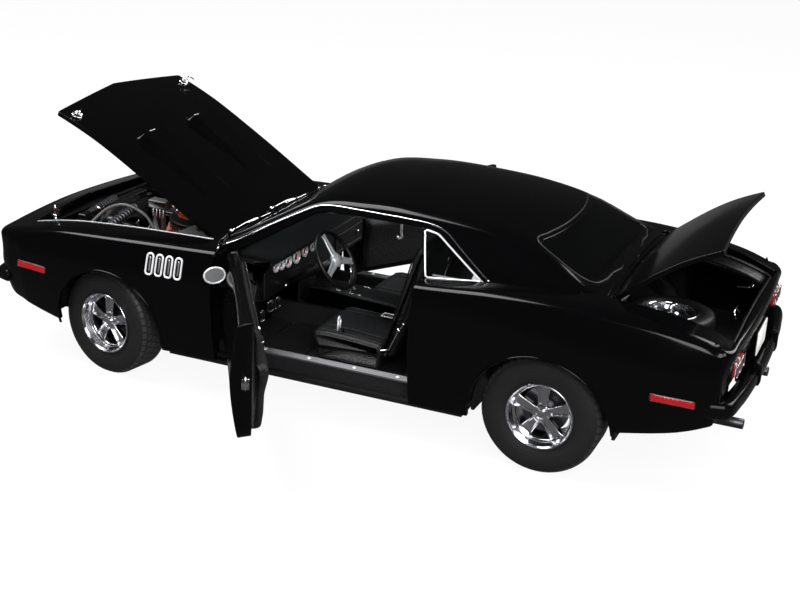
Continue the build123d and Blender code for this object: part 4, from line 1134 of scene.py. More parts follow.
def roofX(y, z):
    # the roof's side at a height, from the belt up to the rail
    belt, rail, railZ = (smoothTrack(roofTable[:, 0], roofTable[:, k], y) for k in (1, 2, 3))
    rise = railZ - roofShape["beltZ"]
    share = np.clip((z - roofShape["beltZ"]) / rise, 0, 1)
    return belt + (rail - belt) * share + roofShape["sideBulge"] * np.sin(np.pi * share) * rise / 23


def onMesh(mesh, flat, axes, where, lift=0.0):
    # points of a sheet nearest to flat positions in two of its coordinates, as a weighted mean
    points, normals = mesh[0][where(mesh[0])], mesh[1][where(mesh[0])]
    out = []
    for target in np.asarray(flat, float):
        far = np.linalg.norm(points[:, axes] - target, axis=1)
        near = np.argsort(far)[:5]
        weight = 1 / (far[near] + 0.02) ** 2
        weight /= weight.sum()
        spot = (points[near] * weight[:, None]).sum(0)
        spot[list(axes)] = target
        normal = (normals[near] * weight[:, None]).sum(0)
        out.append(spot + normal / np.linalg.norm(normal) * lift)
    return np.array(out)


def spacedLine(points, step):
    # points evenly spaced along a polyline
    points = np.asarray(points, float)
    along = np.concatenate([[0], np.cumsum(np.linalg.norm(np.diff(points, axis=0), axis=1))])
    at = np.linspace(0, along[-1], max(3, int(along[-1] / step)))
    return np.stack([np.interp(at, along, points[:, k]) for k in range(points.shape[1])], 1)


def bothSides(points, faces):
    return joined((points, faces), mirrored(np.asarray(points, float), faces))


def doorPiece(name, points, faces, material, slot, replaces=""):
    # builds a piece on the left door from its shut pose, and its mirror image on the right door
    placed = turned(points, np.array(doorTurn["pivot"], float), doorTurn["angle"], "Z")
    left = makePiece(name + "Left", placed, faces, material, "door_left", slot,
                     replaces=(replaces + "_left",) if replaces else ())
    other, turnedFaces = mirrored(placed, faces)
    right = makePiece(name + "Right", other, turnedFaces, material, "door_right", slot,
                      replaces=(replaces + "_right",) if replaces else ())
    return left, right


def hoodPiece(name, points, faces, material, slot):
    placed = turned(points, np.array(hoodTurn["pivot"], float), hoodTurn["angle"], "X")
    return makePiece(name, placed, faces, material, "hood", slot)


def deckPiece(name, points, faces, material, slot):
    placed = turned(points, np.array(deckTurn["pivot"], float), deckTurn["angle"], "X")
    return makePiece(name, placed, faces, material, "boot_lid", slot)


# wheels and tyres

wheelShape = {
    "front": {"radius": 18.2, "width": 13.0, "x": 41.4, "y": -79.2, "steer": -10.0},
    "rear": {"radius": 18.8, "width": 15.0, "x": 41.6, "y": 73.2, "steer": 0.0},
    "kingpin": 37.4, "lip": 10.5, "dish": 3.6, "ring": 8.5, "spokes": 5, "steps": 60}


def onWheel(points, end, side):
    # from the wheel's own frame (axle along x, outboard positive) to the car
    shape = wheelShape[end]
    placed = np.asarray(points, float) + (shape["x"], shape["y"], shape["radius"])
    if shape["steer"] and side < 0:
        placed = turned(placed, np.array((wheelShape["kingpin"], shape["y"], 0)), -shape["steer"],
                        "Z")
    elif shape["steer"]:
        placed = turned(placed, np.array((wheelShape["kingpin"], shape["y"], 0)), shape["steer"],
                        "Z")
    return placed * (side, 1, 1)


def treadRubber(name, end, side):
    # rubber with tread blocks, from the angle about the axle and the way across
    shape = wheelShape[end]
    f = Finish(name)
    turn = math.radians(shape["steer"])
    centre = onWheel(np.zeros((1, 3)), end, side)[0]
    local = f.add("ShaderNodeMapping", {"vector_type": "TEXTURE"}, {
        "Vector": f.place(), "Location": tuple(float(v) * mm for v in centre),
        "Rotation": (0, 0, turn)})
    split = f.tree.nodes.new("ShaderNodeSeparateXYZ")
    f.tree.links.new(local.socket, split.inputs[0])
    x, y, z = (Wire(f.tree, split.outputs[k]) for k in range(3))
    angle = y.maths("ARCTAN2", y, z) / (2 * math.pi)
    radius = (y * y + z * z).maths("SQRT", y * y + z * z)
    lane = (x / (shape["width"] * mm) + 0.5) * 6.0
    row = lane.maths("FLOOR", lane)
    block = (angle * 46.0 + row * 0.37).maths("FRACT", angle * 46.0 + row * 0.37)
    blockEdge = (block > 0.2) * (block < 0.96)
    laneEdge = lane.maths("FRACT", lane)
    laneEdge = (laneEdge > 0.14)
    sipe = (angle * 138.0).maths("FRACT", angle * 138.0) > 0.16
    onTread = radius > (shape["radius"] - 1.1) * mm
    land = blockEdge * laneEdge
    ring = (radius * (1.0 / mm)).maths("FRACT", radius * (1.0 / mm) * 0.9)
    height = onTread * (land * 0.8 + sipe * 0.2) + (1 - onTread) * (ring > 0.93) * 0.12
    fine = f.noise(1400.0, 3.0, 0.6)
    grime = f.noise(70.0, 3.0)
    # painted shade and glint: the grooves are coloured darker than the block tops, though both are
    # the same rubber
    grooveShadeAndGlint = f.blendColour(onTread * land, grey(0.006), grey(0.022))
    return f.surface({
        "Base Color": f.blendColour(grime * 0.4, grooveShadeAndGlint, grey(0.014)),
        "Roughness": fine * 0.15 + 0.5 - onTread * land * 0.12,
        "Specular IOR Level": 0.28,
        "Normal": f.bump(height + fine * 0.05, 0.9, 0.0007)})


def tyreMesh(end):
    s = wheelShape[end]
    h, r, bead = s["width"] / 2, s["radius"], wheelShape["lip"]
    profile = [(h - 1.3, bead - 0.3), (h - 0.7, bead + 0.5), (h, bead + 3.2), (h - 0.15, r - 2.6),
               (h - 0.9, r - 0.75), (h - 2.2, r), (-h + 2.2, r), (-h + 0.9, r - 0.75),
               (-h, bead + 3.2), (-h + 1.3, bead - 0.3)]
    points, faces = spun(profile, wheelShape["steps"])
    closing = [tuple(f) for f in faces] + [
        (i * 10, ((i + 1) % wheelShape["steps"]) * 10, ((i + 1) % wheelShape["steps"]) * 10 + 9,
         i * 10 + 9)
        for i in range(wheelShape["steps"])]
    return points, closing


def closedSpin(profile, steps):
    # a ring: the profile's last point joins its first
    points, _ = spun(profile, steps)
    return points, [tuple(f) for f in gridFaces(steps, len(profile), closeRows=True,
                                                closeColumns=True)]


def spokeMesh(face):
    # a channel that widens outward: two raised ribs with a sunk floor between them
    stations = np.linspace(2.3, wheelShape["ring"] + 0.25, 9)
    points = []
    for k, r in enumerate(stations):
        share = k / 8
        w = 1.35 + 0.75 * share + 0.55 * max(0, share - 0.85) / 0.15
        lift = 0.5 - 0.35 * share
        section = [(-w, -1.5), (-w, 0.25), (-w + 0.16, 0.42), (-w + 0.5, 0.42), (-w + 0.66, 0.2),
                   (-w + 0.72, -0.5), (w - 0.72, -0.5), (w - 0.66, 0.2), (w - 0.5, 0.42),
                   (w - 0.16, 0.42), (w, 0.25), (w, -1.5)]
        points.append([(face + lift + b, a, r) for a, b in section])
    return lofted(points, False)


def rimMesh(end):
    s, w = wheelShape[end], wheelShape
    h, lip, ring = s["width"] / 2, w["lip"], w["ring"]
    face = h - w["dish"]
    profile = [(-h + 1.0, lip - 1.2), (-h + 1.0, lip - 0.35), (h - 1.5, lip - 0.35), (h - 0.8, lip),
               (h - 0.35, lip + 0.1), (h - 0.15, lip - 0.1), (h - 0.2, lip - 0.35),
               (h - 0.55, lip - 0.5), (h - 0.75, lip - 0.75), (h - 1.9, lip - 1.0),
               (face + 0.9, lip - 1.35), (face + 0.6, ring + 0.75), (face + 0.35, ring + 0.2),
               (face + 0.1, ring), (face - 0.5, ring - 0.1), (face - 1.6, ring + 0.1),
               (face - 3.0, lip - 1.2)]
    parts = [closedSpin(profile, 96)]
    for n in range(w["spokes"]):
        points, faces = spokeMesh(face)
        parts.append((turned(points, np.zeros(3), n * 360 / w["spokes"], "X"), faces))
    hub = [(face - 2.2, 1.55), (face - 2.2, 3.1), (face + 0.2, 3.1), (face + 0.8, 2.9),
           (face + 1.0, 2.5), (face + 1.0, 1.55)]
    parts.append(closedSpin(hub, 48))
    cap = [(face - 0.05, 0.001), (face - 0.05, 1.75), (face + 1.5, 1.75), (face + 1.75, 1.6),
           (face + 1.8, 1.3), (face + 1.55, 1.1), (face + 1.6, 0.6), (face + 1.75, 0.001)]
    parts.append(spun(cap, 40))
    for n in range(w["spokes"]):
        nut = [(face + 0.3, 0.001), (face + 0.3, 0.5), (face + 1.3, 0.5), (face + 1.55, 0.35),
               (face + 1.6, 0.001)]
        points, faces = spun(nut, 6)
        points = points + (0, 0, 2.45)
        parts.append((turned(points, np.zeros(3), (n + 0.5) * 360 / w["spokes"], "X"), faces))
    return joined(*parts)


def discMesh(end):
    h = wheelShape[end]["width"] / 2
    face = h - wheelShape["dish"]
    disc = [(face - 3.6, 3.0), (face - 3.6, 7.4), (face - 3.2, 7.4), (face - 3.2, 3.0)]
    hat = [(face - 3.2, 3.0), (face - 3.2, 4.0), (face - 2.3, 3.8), (face - 2.3, 3.0)]
    return joined(closedSpin(disc, 64), closedSpin(hat, 48))


def makeWheels():
    for end in ("front", "rear"):
        for side, label in ((1, "left"), (-1, "right")):
            body = f"wheel_{end}_{label}"
            rubber = treadRubber(f"tyreRubber_{end}_{label}", end, side)
            for name, (points, faces), material, slot, replaces in (
                    (f"tyre_{end}_{label}_skin", tyreMesh(end), rubber, "tyre_rubber",
                     (f"tyre_{end}_{label}",)),
                    (f"rim_{end}_{label}_skin", rimMesh(end), wheelChrome, "wheel_chrome",
                     (f"rim_{end}_{label}",)),
                    (f"disc_{end}_{label}", discMesh(end), darkSteel, "wheel_chrome", ())):
                placed = onWheel(points, end, side)
                if side < 0:
                    faces = flipped(faces)
                piece = makePiece(name, placed, faces, material, body, slot, replaces=replaces)
                softEdges(piece, 0.12 if "rim" in name else 0.05, 2, 28)
                if "tyre" in name:
                    piece.modifiers.clear()


makeWheels()
print("wheels ready")


# seats, bench, fascia, steering wheel, console, pedals, sill plates and door linings


def padShape(outline, low, high, edge, steps=7, crown=0.0):
    # an upholstered block: an outline in y and z carried across x, drawn in round its two ends and
    # swollen by crown towards the middle
    outline = np.asarray(outline, float)
    ahead = np.roll(outline, -1, 0) - np.roll(outline, 1, 0)
    ahead /= np.linalg.norm(ahead, axis=1, keepdims=True)
    inward = np.stack([-ahead[:, 1], ahead[:, 0]], 1)
    area = np.sum(outline[:, 0] * np.roll(outline[:, 1], -1)
                  - np.roll(outline[:, 0], -1) * outline[:, 1])
    inward *= 1 if area > 0 else -1
    bend = np.radians(np.linspace(0, 90, steps))
    shift = edge * (1 - np.sin(bend))
    at = np.concatenate([low + edge * (1 - np.cos(bend)), (high - edge * (1 - np.cos(bend)))[::-1]])
    inset = np.concatenate([shift, shift[::-1]])
    middle = np.linspace(at[steps - 1], at[steps], 7)[1:-1]
    at = np.insert(at, steps, middle)
    swell = np.sin(np.pi * (middle - low) / (high - low))
    inset = np.insert(inset, steps, -crown * swell)
    rings = [np.column_stack([np.full(len(outline), x), outline + inward * d])
             for x, d in zip(at, inset)]
    n = len(outline)
    faces = [tuple(f) for f in gridFaces(len(at), n, closeColumns=True)]
    faces += [tuple(reversed(range(n))), tuple(range((len(at) - 1) * n, len(at) * n))]
    if area < 0:
        faces = flipped(faces)
    return np.concatenate(rings), flipped(faces)


seat = {
    "middle": 21.0, "half": 12.3, "panHalf": 12.3, "backHalf": 11.5,
    "base": [(-8.0, 15.1), (-9.2, 22.0), (14.6, 22.4), (13.8, 15.1)],
    "pan": [(-8.4, 18.8), (-10.0, 22.2), (-9.4, 24.7), (-6.0, 25.5), (4.0, 25.2), (14.6, 24.4),
            (15.2, 20.0)],
    "back": [(14.0, 19.8), (16.3, 27.1), (20.0, 41.0), (23.6, 54.2), (25.4, 58.6), (28.2, 58.8),
             (28.7, 56.0), (26.5, 45.5), (22.8, 31.6), (18.6, 20.2)],
    "pipe": 0.26, "seams": (-7.4, 7.4), "hinge": [(14.2, 22.4), (17.6, 23.4), (20.6, 30.6),
                                                  (22.4, 33.4)]}


def makeSeats():
    s = seat
    for side, label in ((1, "left"), (-1, "right")):
        x = side * s["middle"]
        low, high = x - s["half"], x + s["half"]
        pan = roundedOutline(s["pan"], [1.6, 1.2, 1.4, 2.5, 3.0, 1.6, 1.2], 6)
        back = roundedOutline(s["back"], [1.0, 2.0, 4.0, 3.0, 1.6, 1.5, 1.4, 4.0, 3.0, 1.2], 6)
        base = roundedOutline(s["base"], 0.8, 4)
        cover = joined(padShape(pan, low, high, 1.5, crown=0.35),
                       padShape(base, low + 0.3, high - 0.3, 1.0),
                       padShape(back, x - s["backHalf"], x + s["backHalf"], 1.8, crown=0.45))
        onCar(f"seatCover_{label}", cover, vinyl, "interior_vinyl",
              replaces=(f"front_seat_{label}",))
        cords = []
        for inner in (-1, 1):
            line = spacedLine([(-9.3, 23.4), (-8.6, 24.9), (-6.0, 25.6), (4.0, 25.3), (14.6, 24.4)],
                              0.8)
            cords.append(tube(atX(x + inner * (s["panHalf"] - 0.9), line), s["pipe"], 6))
            line = spacedLine([(16.2, 27.4), (19.9, 41.0), (23.4, 54.2), (25.2, 58.2), (26.8, 58.9),
                               (28.2, 58.2), (28.6, 56.0), (26.4, 45.5), (22.8, 31.8)], 0.8)
            cords.append(tube(atX(x + inner * (s["backHalf"] - 0.9), line), s["pipe"], 6))
        for offset in s["seams"]:
            line = spacedLine([(-8.8, 25.0), (-6.0, 25.85), (4.0, 25.6), (13.6, 24.8)], 0.8)
            cords.append(tube(atX(x + offset, line), s["pipe"], 6))
            line = spacedLine([(16.5, 29.0), (19.5, 40.8), (23.0, 54.0)], 0.8)
            cords.append(tube(atX(x + offset, line), s["pipe"], 6))
        line = np.array([(x + t * 11.0, -9.4 - 0.4 * (1 - t * t), 24.1)
                         for t in np.linspace(-1, 1, 21)])
        cords.append(tube(line, s["pipe"], 6))
        onCar(f"seatPiping_{label}", joined(*cords), satinBlack, "interior_vinyl")
        out = x + side * (s["half"] + 0.12)
        arm = spacedLine(np.array(s["hinge"]), 0.6)
        bright = [tube(atX(out, arm), 0.38, 8)]
        bright.append(spun([(out - side * 0.5, 0.001), (out - side * 0.5, 0.9),
                            (out + side * 0.35, 0.8), (out + side * 0.5, 0.001)], 14))
        bright[1] = (bright[1][0] + (0, 20.6, 30.6), bright[1][1] if side > 0 else
                     flipped(bright[1][1]))
        onCar(f"seatHinge_{label}", joined(*bright), chrome, "bright_aluminium")


def makeBench():
    cushion = roundedOutline([(36.1, 20.2), (36.1, 27.4), (38.6, 30.4), (49.6, 31.6), (49.8, 33.0),
                              (53.5, 33.0), (45.2, 20.2)],
                             [0.8, 1.6, 2.4, 1.0, 0.6, 0.4, 0.5], 5)
    rest = roundedOutline([(48.6, 31.6), (50.1, 34.2), (54.1, 48.2), (56.0, 49.3), (58.4, 49.2),
                           (58.4, 31.6)],
                          [1.0, 1.4, 1.8, 1.0, 0.8, 0.5], 5)
    parts = []
    for low, high in ((-31.9, -0.3), (0.3, 31.9)):
        parts.append(padShape(cushion, low, high, 1.4, crown=0.1))
        parts.append(padShape(rest, low, high, 1.6, crown=0.1))
    onCar("rearBench", joined(*parts), vinyl, "interior_vinyl", replaces=("rear_seat",))


fascia = {
    "half": 38.6, "face": -24.8,
    "pad": [(-39.2, 38.6), (-39.2, 47.5), (-32.0, 47.7), (-22.8, 46.6), (-22.1, 45.9),
            (-24.8, 45.5), (-27.5, 45.0), (-27.5, 38.6)],
    "panel": [(-31.0, 45.4), (-24.9, 45.5), (-24.9, 33.6), (-29.4, 31.8), (-31.0, 33.0)],
    "gauges": [(31.4, 43.3, 1.6), (27.4, 43.1, 1.75), (22.6, 42.8, 2.0), (16.7, 42.7, 2.3),
               (10.6, 42.9, 1.85), (4.6, 43.0, 1.7)],
    "knobs": [(12.4, 35.6), (8.8, 35.6), (3.6, 35.6), (26.0, 35.6)]}


def makeFascia():
    s = fascia
    pad = padShape(roundedOutline(s["pad"], [0.4, 1.2, 2.5, 1.3, 0.8, 0.6, 0.3, 0.3], 6),
                   -s["half"], s["half"], 1.6)
    panel = padShape(roundedOutline(s["panel"], [0.3, 0.4, 0.9, 0.8, 0.3], 5), -s["half"] + 0.4,
                     s["half"] - 0.4, 0.5)
    hood = padShape(roundedOutline([(-25.4, 45.9), (-22.9, 46.2), (-22.7, 45.7), (-25.4, 45.3)],
                                   0.2, 4), 1.6, 34.6, 0.4)
    stack = padShape(roundedOutline([(-36.0, 22.2), (-36.0, 38.0), (-28.1, 38.0), (-28.1, 22.2)],
                                    0.9, 5), -6.3, 6.3, 0.8)
    onCar("fasciaPad", joined(pad, hood), panelVinyl, "interior_vinyl", replaces=("dashboard",))
    onCar("fasciaPanel", joined(panel, stack), satinBlack, "interior_vinyl")
    face = s["face"]
    rims, dials, needles, arcs, backs = [], [], [], [], []
    for k, (x, z, r) in enumerate(s["gauges"]):
        where = np.array([x, face, z])
        ring = [(0.0, r + 0.12), (0.55, r + 0.12), (0.75, r - 0.1), (0.55, r - 0.34),
                (0.2, r - 0.38), (0.0, r - 0.3)]
        rims.append(shifted(closedSpinY(ring, 40), where))
        dial = [(0.02, r * 0.5), (0.24, r * 0.5), (0.26, r - 0.35), (0.02, r - 0.35)]
        dials.append(shifted(closedSpinY(dial, 40), where))
        plate = [(-0.05, 0.001), (-0.05, r), (0.1, r), (0.12, 0.001)]
        backs.append(shifted(spunY(plate, 40), where))
        tilt = math.radians((-50, 20, -30, 40, -15, 35)[k])
        tip = np.array([math.sin(tilt), 0, math.cos(tilt)])
        needles.append(tube([where + (0, 0.36, 0) - tip * 0.3 * r,
                             where + (0, 0.36, 0) + tip * 0.66 * r],
                            0.11, 6))
        boss = [(0.1, 0.001), (0.1, r * 0.2), (0.4, r * 0.18), (0.46, 0.001)]
        needles.append(shifted(spunY(boss, 16), where))
        marks = np.radians(np.linspace(-130, 130, 9))
        for a in marks:
            outer = where + (r * 0.76 * math.sin(a), 0.3, r * 0.76 * math.cos(a))
            inner = where + (r * 0.58 * math.sin(a), 0.3, r * 0.58 * math.cos(a))
            arcs.append(tube([outer, inner], 0.07, 4))
    x, z, r = s["gauges"][3]
    sweep = np.radians(np.linspace(-110, 40, 24))
    warn = np.array([(x + (r - 0.5) * math.sin(a), face + 0.34, z + (r - 0.5) * math.cos(a))
                     for a in sweep])
    onCar("gaugeBacks", joined(*backs), satinBlack, "black_plastic")
    onCar("gaugeRims", joined(*rims), silverPaintedSheen, "bright_aluminium")
    onCar("gaugeDials", joined(*dials), plateWhite, "plate_white")
    onCar("gaugeNeedles", joined(*needles), redLens, "red_lens")
    onCar("gaugeMarks", joined(*arcs), satinBlack, "black_plastic")
    onCar("gaugeArc", tube(warn, 0.2, 6), amberLens, "red_lens")
    knobs = []
    for x, z in s["knobs"]:
        knob = [(0.0, 0.001), (0.0, 0.42), (0.9, 0.42), (0.95, 0.8), (1.7, 0.72), (1.85, 0.4),
                (1.85, 0.001)]
        knobs.append(shifted(spunY(knob, 18), (x, face, z)))
    button = spunY([(0.0, 0.001), (0.0, 0.7), (0.9, 0.6), (1.0, 0.001)], 20)
    knobs.append(shifted(button, (-31.4, face + 0.35, 38.9)))
    door = spacedLine([(-14.0, 41.4), (-36.0, 41.4), (-36.0, 35.4), (-14.0, 35.4), (-14.0, 41.4)],
                      0.8)[:-1]
    onCar("fasciaKnobs", joined(*knobs), chrome, "bright_aluminium")
    box = roundedOutline(rectangle(-36.0, -14.0, 35.4, 41.4), 0.8, 5)
    points, faces = extruded(box, face - 0.3, face + 0.35, "Y")
    lid = onCar("gloveLid", (points, faces), panelVinyl, "interior_vinyl")
    softEdges(lid, 0.2)
    rail = np.column_stack([door[:, 0], np.full(len(door), face + 0.36), door[:, 1]])
    onCar("gloveTrim", tube(rail, 0.14, 6, closed=True), darkSteel, "bright_aluminium")


helm = {"hub": (20.0, -8.4, 45.4), "tilt": 33.0, "radius": 9.9, "rim": 0.72}


def helmPlaced(points):
    # from the wheel's own frame, with its face towards +z and its top towards +y
    turn = np.array(Matrix.Rotation(math.radians(helm["tilt"] - 90), 3, "X"))
    return np.asarray(points, float) @ turn.T + helm["hub"]


def makeHelm():
    s = helm
    around = np.linspace(0, 2 * np.pi, 72, endpoint=False)
    ring = np.stack([s["radius"] * np.cos(around), s["radius"] * np.sin(around), np.zeros(72)], 1)
    points, faces = tube(ring, s["rim"], 12, closed=True)
    stalk = tube([(0, 0, -1.2), (0, 0, -6.0), (0, 0, -19.4)], [1.5, 1.25, 1.15], 20)
    onCar("helmRim", joined((helmPlaced(points), faces), (helmPlaced(stalk[0]), stalk[1])),
          satinBlack, "black_plastic", replaces=("steering_wheel",))
    spokes = []
    for angle in (20, 160, 270):
        stations = np.linspace(1.2, s["radius"] - 0.2, 9)
        rows = []
        for k, r in enumerate(stations):
            share = k / 8
            half = 1.55 - 0.75 * share + 0.5 * max(0.0, share - 0.8) / 0.2
            lift = 0.35 - 0.25 * share
            rows.append([(r, a * half, lift + b) for a, b in
                         ((-1, -0.3), (-1, 0.12), (-0.85, 0.24), (-0.3, 0.24), (-0.2, 0.05),
                          (0.2, 0.05), (0.3, 0.24), (0.85, 0.24), (1, 0.12), (1, -0.3))])
        points, faces = lofted(rows)
        turn = np.array(Matrix.Rotation(math.radians(angle), 3, "Z"))
        spokes.append((helmPlaced(points @ turn.T), faces))
    boss = [(-0.5, 0.001), (-0.5, 2.3), (0.5, 2.5), (1.0, 2.2), (1.15, 1.7), (1.5, 1.5),
            (1.6, 0.001)]
    points, faces = spun(boss, 32, "Z")
    spokes.append((helmPlaced(points), faces))
    onCar("helmSpokes", joined(*spokes), silverPaintedSheen, "bright_aluminium")


def makeConsole():
    shell = padShape(roundedOutline([(-27.4, 22.2), (-26.0, 28.8), (-20.0, 29.2), (20.0, 26.9),
                                     (23.8, 22.2)],
                                    [0.5, 1.2, 2.0, 1.5, 0.5], 5), -5.1, 5.1, 0.9)
    onCar("consoleShell", shell, panelVinyl, "interior_vinyl", replaces=("console_and_shifter",))
    bright = [tube([(0, -12.0, 28.0), (0.2, -11.6, 33.0), (0.0, -12.0, 37.4)], 0.42, 10)]
    for x in (-4.2, 4.2):
        bright.append(tube([(x, -24.0, 29.2), (x, -6.0, 28.3)], 0.2, 6))
    knob = spun([(36.6, 0.001), (36.6, 0.9), (37.4, 1.35), (38.2, 1.35), (38.9, 0.8),
                 (39.0, 0.001)], 24, "Z")
    bright.append(shifted(knob, (0, -12.0, 0)))
    onCar("shiftLever", joined(*bright), chrome, "bright_aluminium")
    boot = spun([(28.3, 2.4), (28.9, 2.1), (29.3, 1.6), (30.6, 0.9), (31.6, 0.55), (31.6, 0.001)],
                24, "Z")
    onCar("shiftBoot", shifted(boot, (0, -12.0, 0)), hoseRubber, "black_plastic")


def makeBuckles():
    bright, straps = [], []
    for x, y, z, up in ((31.4, -1.2, 26.4, True), (12.4, 8.6, 26.1, False),
                        (-8.0, 15.0, 30.0, False)):
        if up:
            for dx in (-0.9, 0.9):
                bright.append(tube([(x + dx, y, z - 0.4), (x + dx * 0.9, y + 0.2, z + 3.0)], 0.32,
                                   8))
            bright.append(tube([(x - 0.9, y, z + 3.0), (x, y + 0.1, z + 4.2),
                                (x + 0.9, y, z + 3.0)], 0.36, 8))
            straps.append(extruded(roundedOutline(rectangle(x - 1.1, x + 1.1, y - 1.6, y + 1.6),
                                                  0.3, 3), z - 0.9, z - 0.1, "Z"))
        else:
            loop = roundedOutline(rectangle(x - 1.5, x + 1.5, y - 2.5, y + 2.5), 0.5, 4)
            bright.append(tube(np.column_stack([loop, np.full(len(loop), z + 0.35)]), 0.26, 6,
                               closed=True))
            straps.append(extruded(loop, z - 0.5, z + 0.3, "Z"))
    onCar("buckles", joined(*bright), paintedShineTrim, "bright_aluminium")
    onCar("buckleTongues", joined(*straps), satinBlack, "black_plastic")


def makeSills():
    screws = []
    y = np.linspace(-27.0, 30.0, 60)
    ribs = np.linspace(41.0, 44.5, 15)
    rows = []
    for v in y:
        top = [(x, v, 19.05 + (0.16 if k % 2 else 0.0)) for k, x in enumerate(ribs)]
        rows.append([(40.95, v, 18.5)] + top + [(44.55, v, 18.5)])
    for v in (-22.0, -6.0, 10.0, 25.0):
        screw = spun([(18.9, 0.001), (18.9, 0.75), (19.35, 0.7), (19.5, 0.4), (19.5, 0.001)], 16,
                     "Z")
        screws.append(shifted(screw, (42.75, v, 0)))
    onCar("sillRibs", bothSides(*lofted(rows)), aluminium, "bright_aluminium", smooth=False,
          replaces=("sill_plates",))
    onCar("sillScrews", bothSides(*joined(*screws)), paintedShineTrim, "bright_aluminium")


def makePedals():
    pads, edges = [], []
    for x, wide, z in ((14.5, 1.7, 24.0), (19.6, 2.0, 24.4), (25.6, 1.3, 22.8)):
        pad = roundedOutline(rectangle(x - wide, x + wide, z - 2.0, z + 2.0), 0.5, 4)
        pads.append(extruded(pad, -33.2, -32.5, "Y"))
        loop = np.column_stack([pad[:, 0], np.full(len(pad), -32.45), pad[:, 1]])
        edges.append(tube(loop, 0.16, 6, closed=True))
        pads.append(tube([(x, -33.2, z), (x, -35.6, z + 6.0), (x, -36.0, z + 13.0)], 0.5, 8))
    onCar("pedals", joined(*pads), hoseRubber, "black_plastic")
    onCar("pedalEdges", joined(*edges), chrome, "bright_aluminium")
    mats = []
    for side in (1, -1):
        border = roundedOutline(rectangle(side * 8.0, side * 39.6, -30.0, -13.0), 1.2, 4)
        mats.append(tube(np.column_stack([border, np.full(len(border), 15.05)]), 0.3, 6,
                         closed=True))
    onCar("matBorders", joined(*mats), hoseRubber, "black_plastic")


lining = {
    "section": [(44.55, 19.8), (41.6, 19.8), (41.0, 24.0), (40.8, 30.0), (39.7, 34.6), (39.5, 36.6),
                (40.0, 38.0), (41.5, 39.2), (41.8, 43.0), (41.7, 46.6), (42.8, 49.6),
                (44.55, 49.6)],
    "low": -32.9, "high": 27.9}


def makeLinings():
    s = lining
    outline = roundedOutline(s["section"], [0.2, 0.6, 1.0, 1.2, 1.0, 0.8, 0.8, 0.7, 1.0, 1.2, 1.0,
                                            0.2], 5)
    y = np.concatenate([np.linspace(s["low"], s["low"] + 2.0, 6),
                        np.linspace(s["low"] + 2.0, s["high"] - 2.0, 24)[1:-1],
                        np.linspace(s["high"] - 2.0, s["high"], 6)])
    rows = []
    for v in y:
        end = min(v - s["low"], s["high"] - v)
        tuck = 1.0 - math.sqrt(max(0.0, 1 - (1 - min(end, 2.0) / 2.0) ** 2))
        x = outline[:, 0] + (44.55 - outline[:, 0]) * tuck * 0.55
        rows.append(np.stack([x, np.full(len(x), v), outline[:, 1]], 1))
    doorPiece("doorLining", *lofted(rows), vinyl, "interior_vinyl", replaces="door_trim")
    bright = []
    top = np.array([(42.5, v, 49.75) for v in np.linspace(s["low"] + 0.6, s["high"] - 0.6, 20)])
    bright.append(tube(top, 0.3, 6))
    crank = [(40.9, -8.0, 33.0), (40.3, -8.0, 33.0), (40.1, -4.0, 31.4), (39.4, -4.0, 31.4)]
    bright.append(tube(spacedLine(crank, 0.5), 0.35, 8))
    handle = [(41.4, 14.0, 42.6), (40.7, 14.2, 42.6), (40.6, 18.6, 42.4), (41.4, 18.8, 42.4)]
    bright.append(tube(spacedLine(handle, 0.5), 0.36, 8))
    doorPiece("doorBright", *joined(*bright), chrome, "bright_aluminium")
    latch = boxShape((45.4, 29.9, 33.0), (47.6, 30.4, 36.2))
    bar = tube([(46.5, 30.2, 32.4), (46.5, 30.6, 33.6), (46.5, 30.6, 35.6), (46.5, 30.2, 36.8)],
               0.32, 8)
    doorPiece("doorLatch", *joined(latch, bar), chrome, "bright_aluminium")


def makeRoofLining():
    hook = np.array([(-43.6, -11.6, 41.4), (-43.6, -11.6, 37.0), (-43.6, -11.2, 35.2),
                     (-43.6, -12.4, 34.6), (-43.6, -13.2, 35.4)])
    onCar("beltHook", tube(spacedLine(hook, 0.5), 0.42, 8), paintedShineTrim, "bright_aluminium")
    visors = []
    for side in (1, -1):
        flap = roundedOutline([(side * 4.0, 63.6), (side * 27.0, 62.4), (side * 27.0, 65.6),
                               (side * 4.0, 67.4)], 0.8, 4)
        points, faces = extruded(flap, -12.4, -11.6, "Y")
        visors.append((points, faces if side > 0 else flipped(faces)))
    onCar("sunVisors", joined(*visors), panelVinyl, "interior_vinyl")


makeSeats()
makeBench()
makeFascia()
makeHelm()
makeConsole()
makeBuckles()
makeSills()
makePedals()
makeLinings()
makeRoofLining()
print("cabin ready")


# bright trim, gills, markers, lamps, mirrors, wipers and pins

roofMesh = wholeRoof()

trimShape = {
    "dripRadius": 0.27, "frameRadius": 0.32,
    "dripLine": [(-38.6, 51.6), (-34.5, 53.2), (-22.0, 60.6), (-9.2, 67.3), (-4.0, 68.0),
                 (8.0, 68.3), (20.0, 68.3), (30.0, 68.0), (35.0, 67.0), (44.0, 60.6), (52.4, 54.9)],
    "quarterLoop": [(28.4, 66.2), (33.0, 65.5), (49.6, 54.8), (31.9, 53.2)],
    "screenLoop": [(-38.2, 52.6), (-29.9, 67.8), (29.9, 67.8), (38.2, 52.6)],
    "rearLoop": [(-34.8, 57.2), (-30.2, 67.2), (30.2, 67.2), (34.8, 57.2)]}


def makeDripRails():
    line = spacedLine(trimShape["dripLine"], 1.2)
    kernel = np.ones(5) / 5
    for k in (0, 1):
        line[2:-2, k] = np.convolve(line[:, k], kernel, "valid")
    x = roofX(line[:, 0], line[:, 1])
    path = np.stack([x + 0.15, line[:, 0], line[:, 1]], 1)
    points, faces = tube(path, trimShape["dripRadius"], 8)
    onCar("dripRails", bothSides(points, faces), chrome, "bright_aluminium")


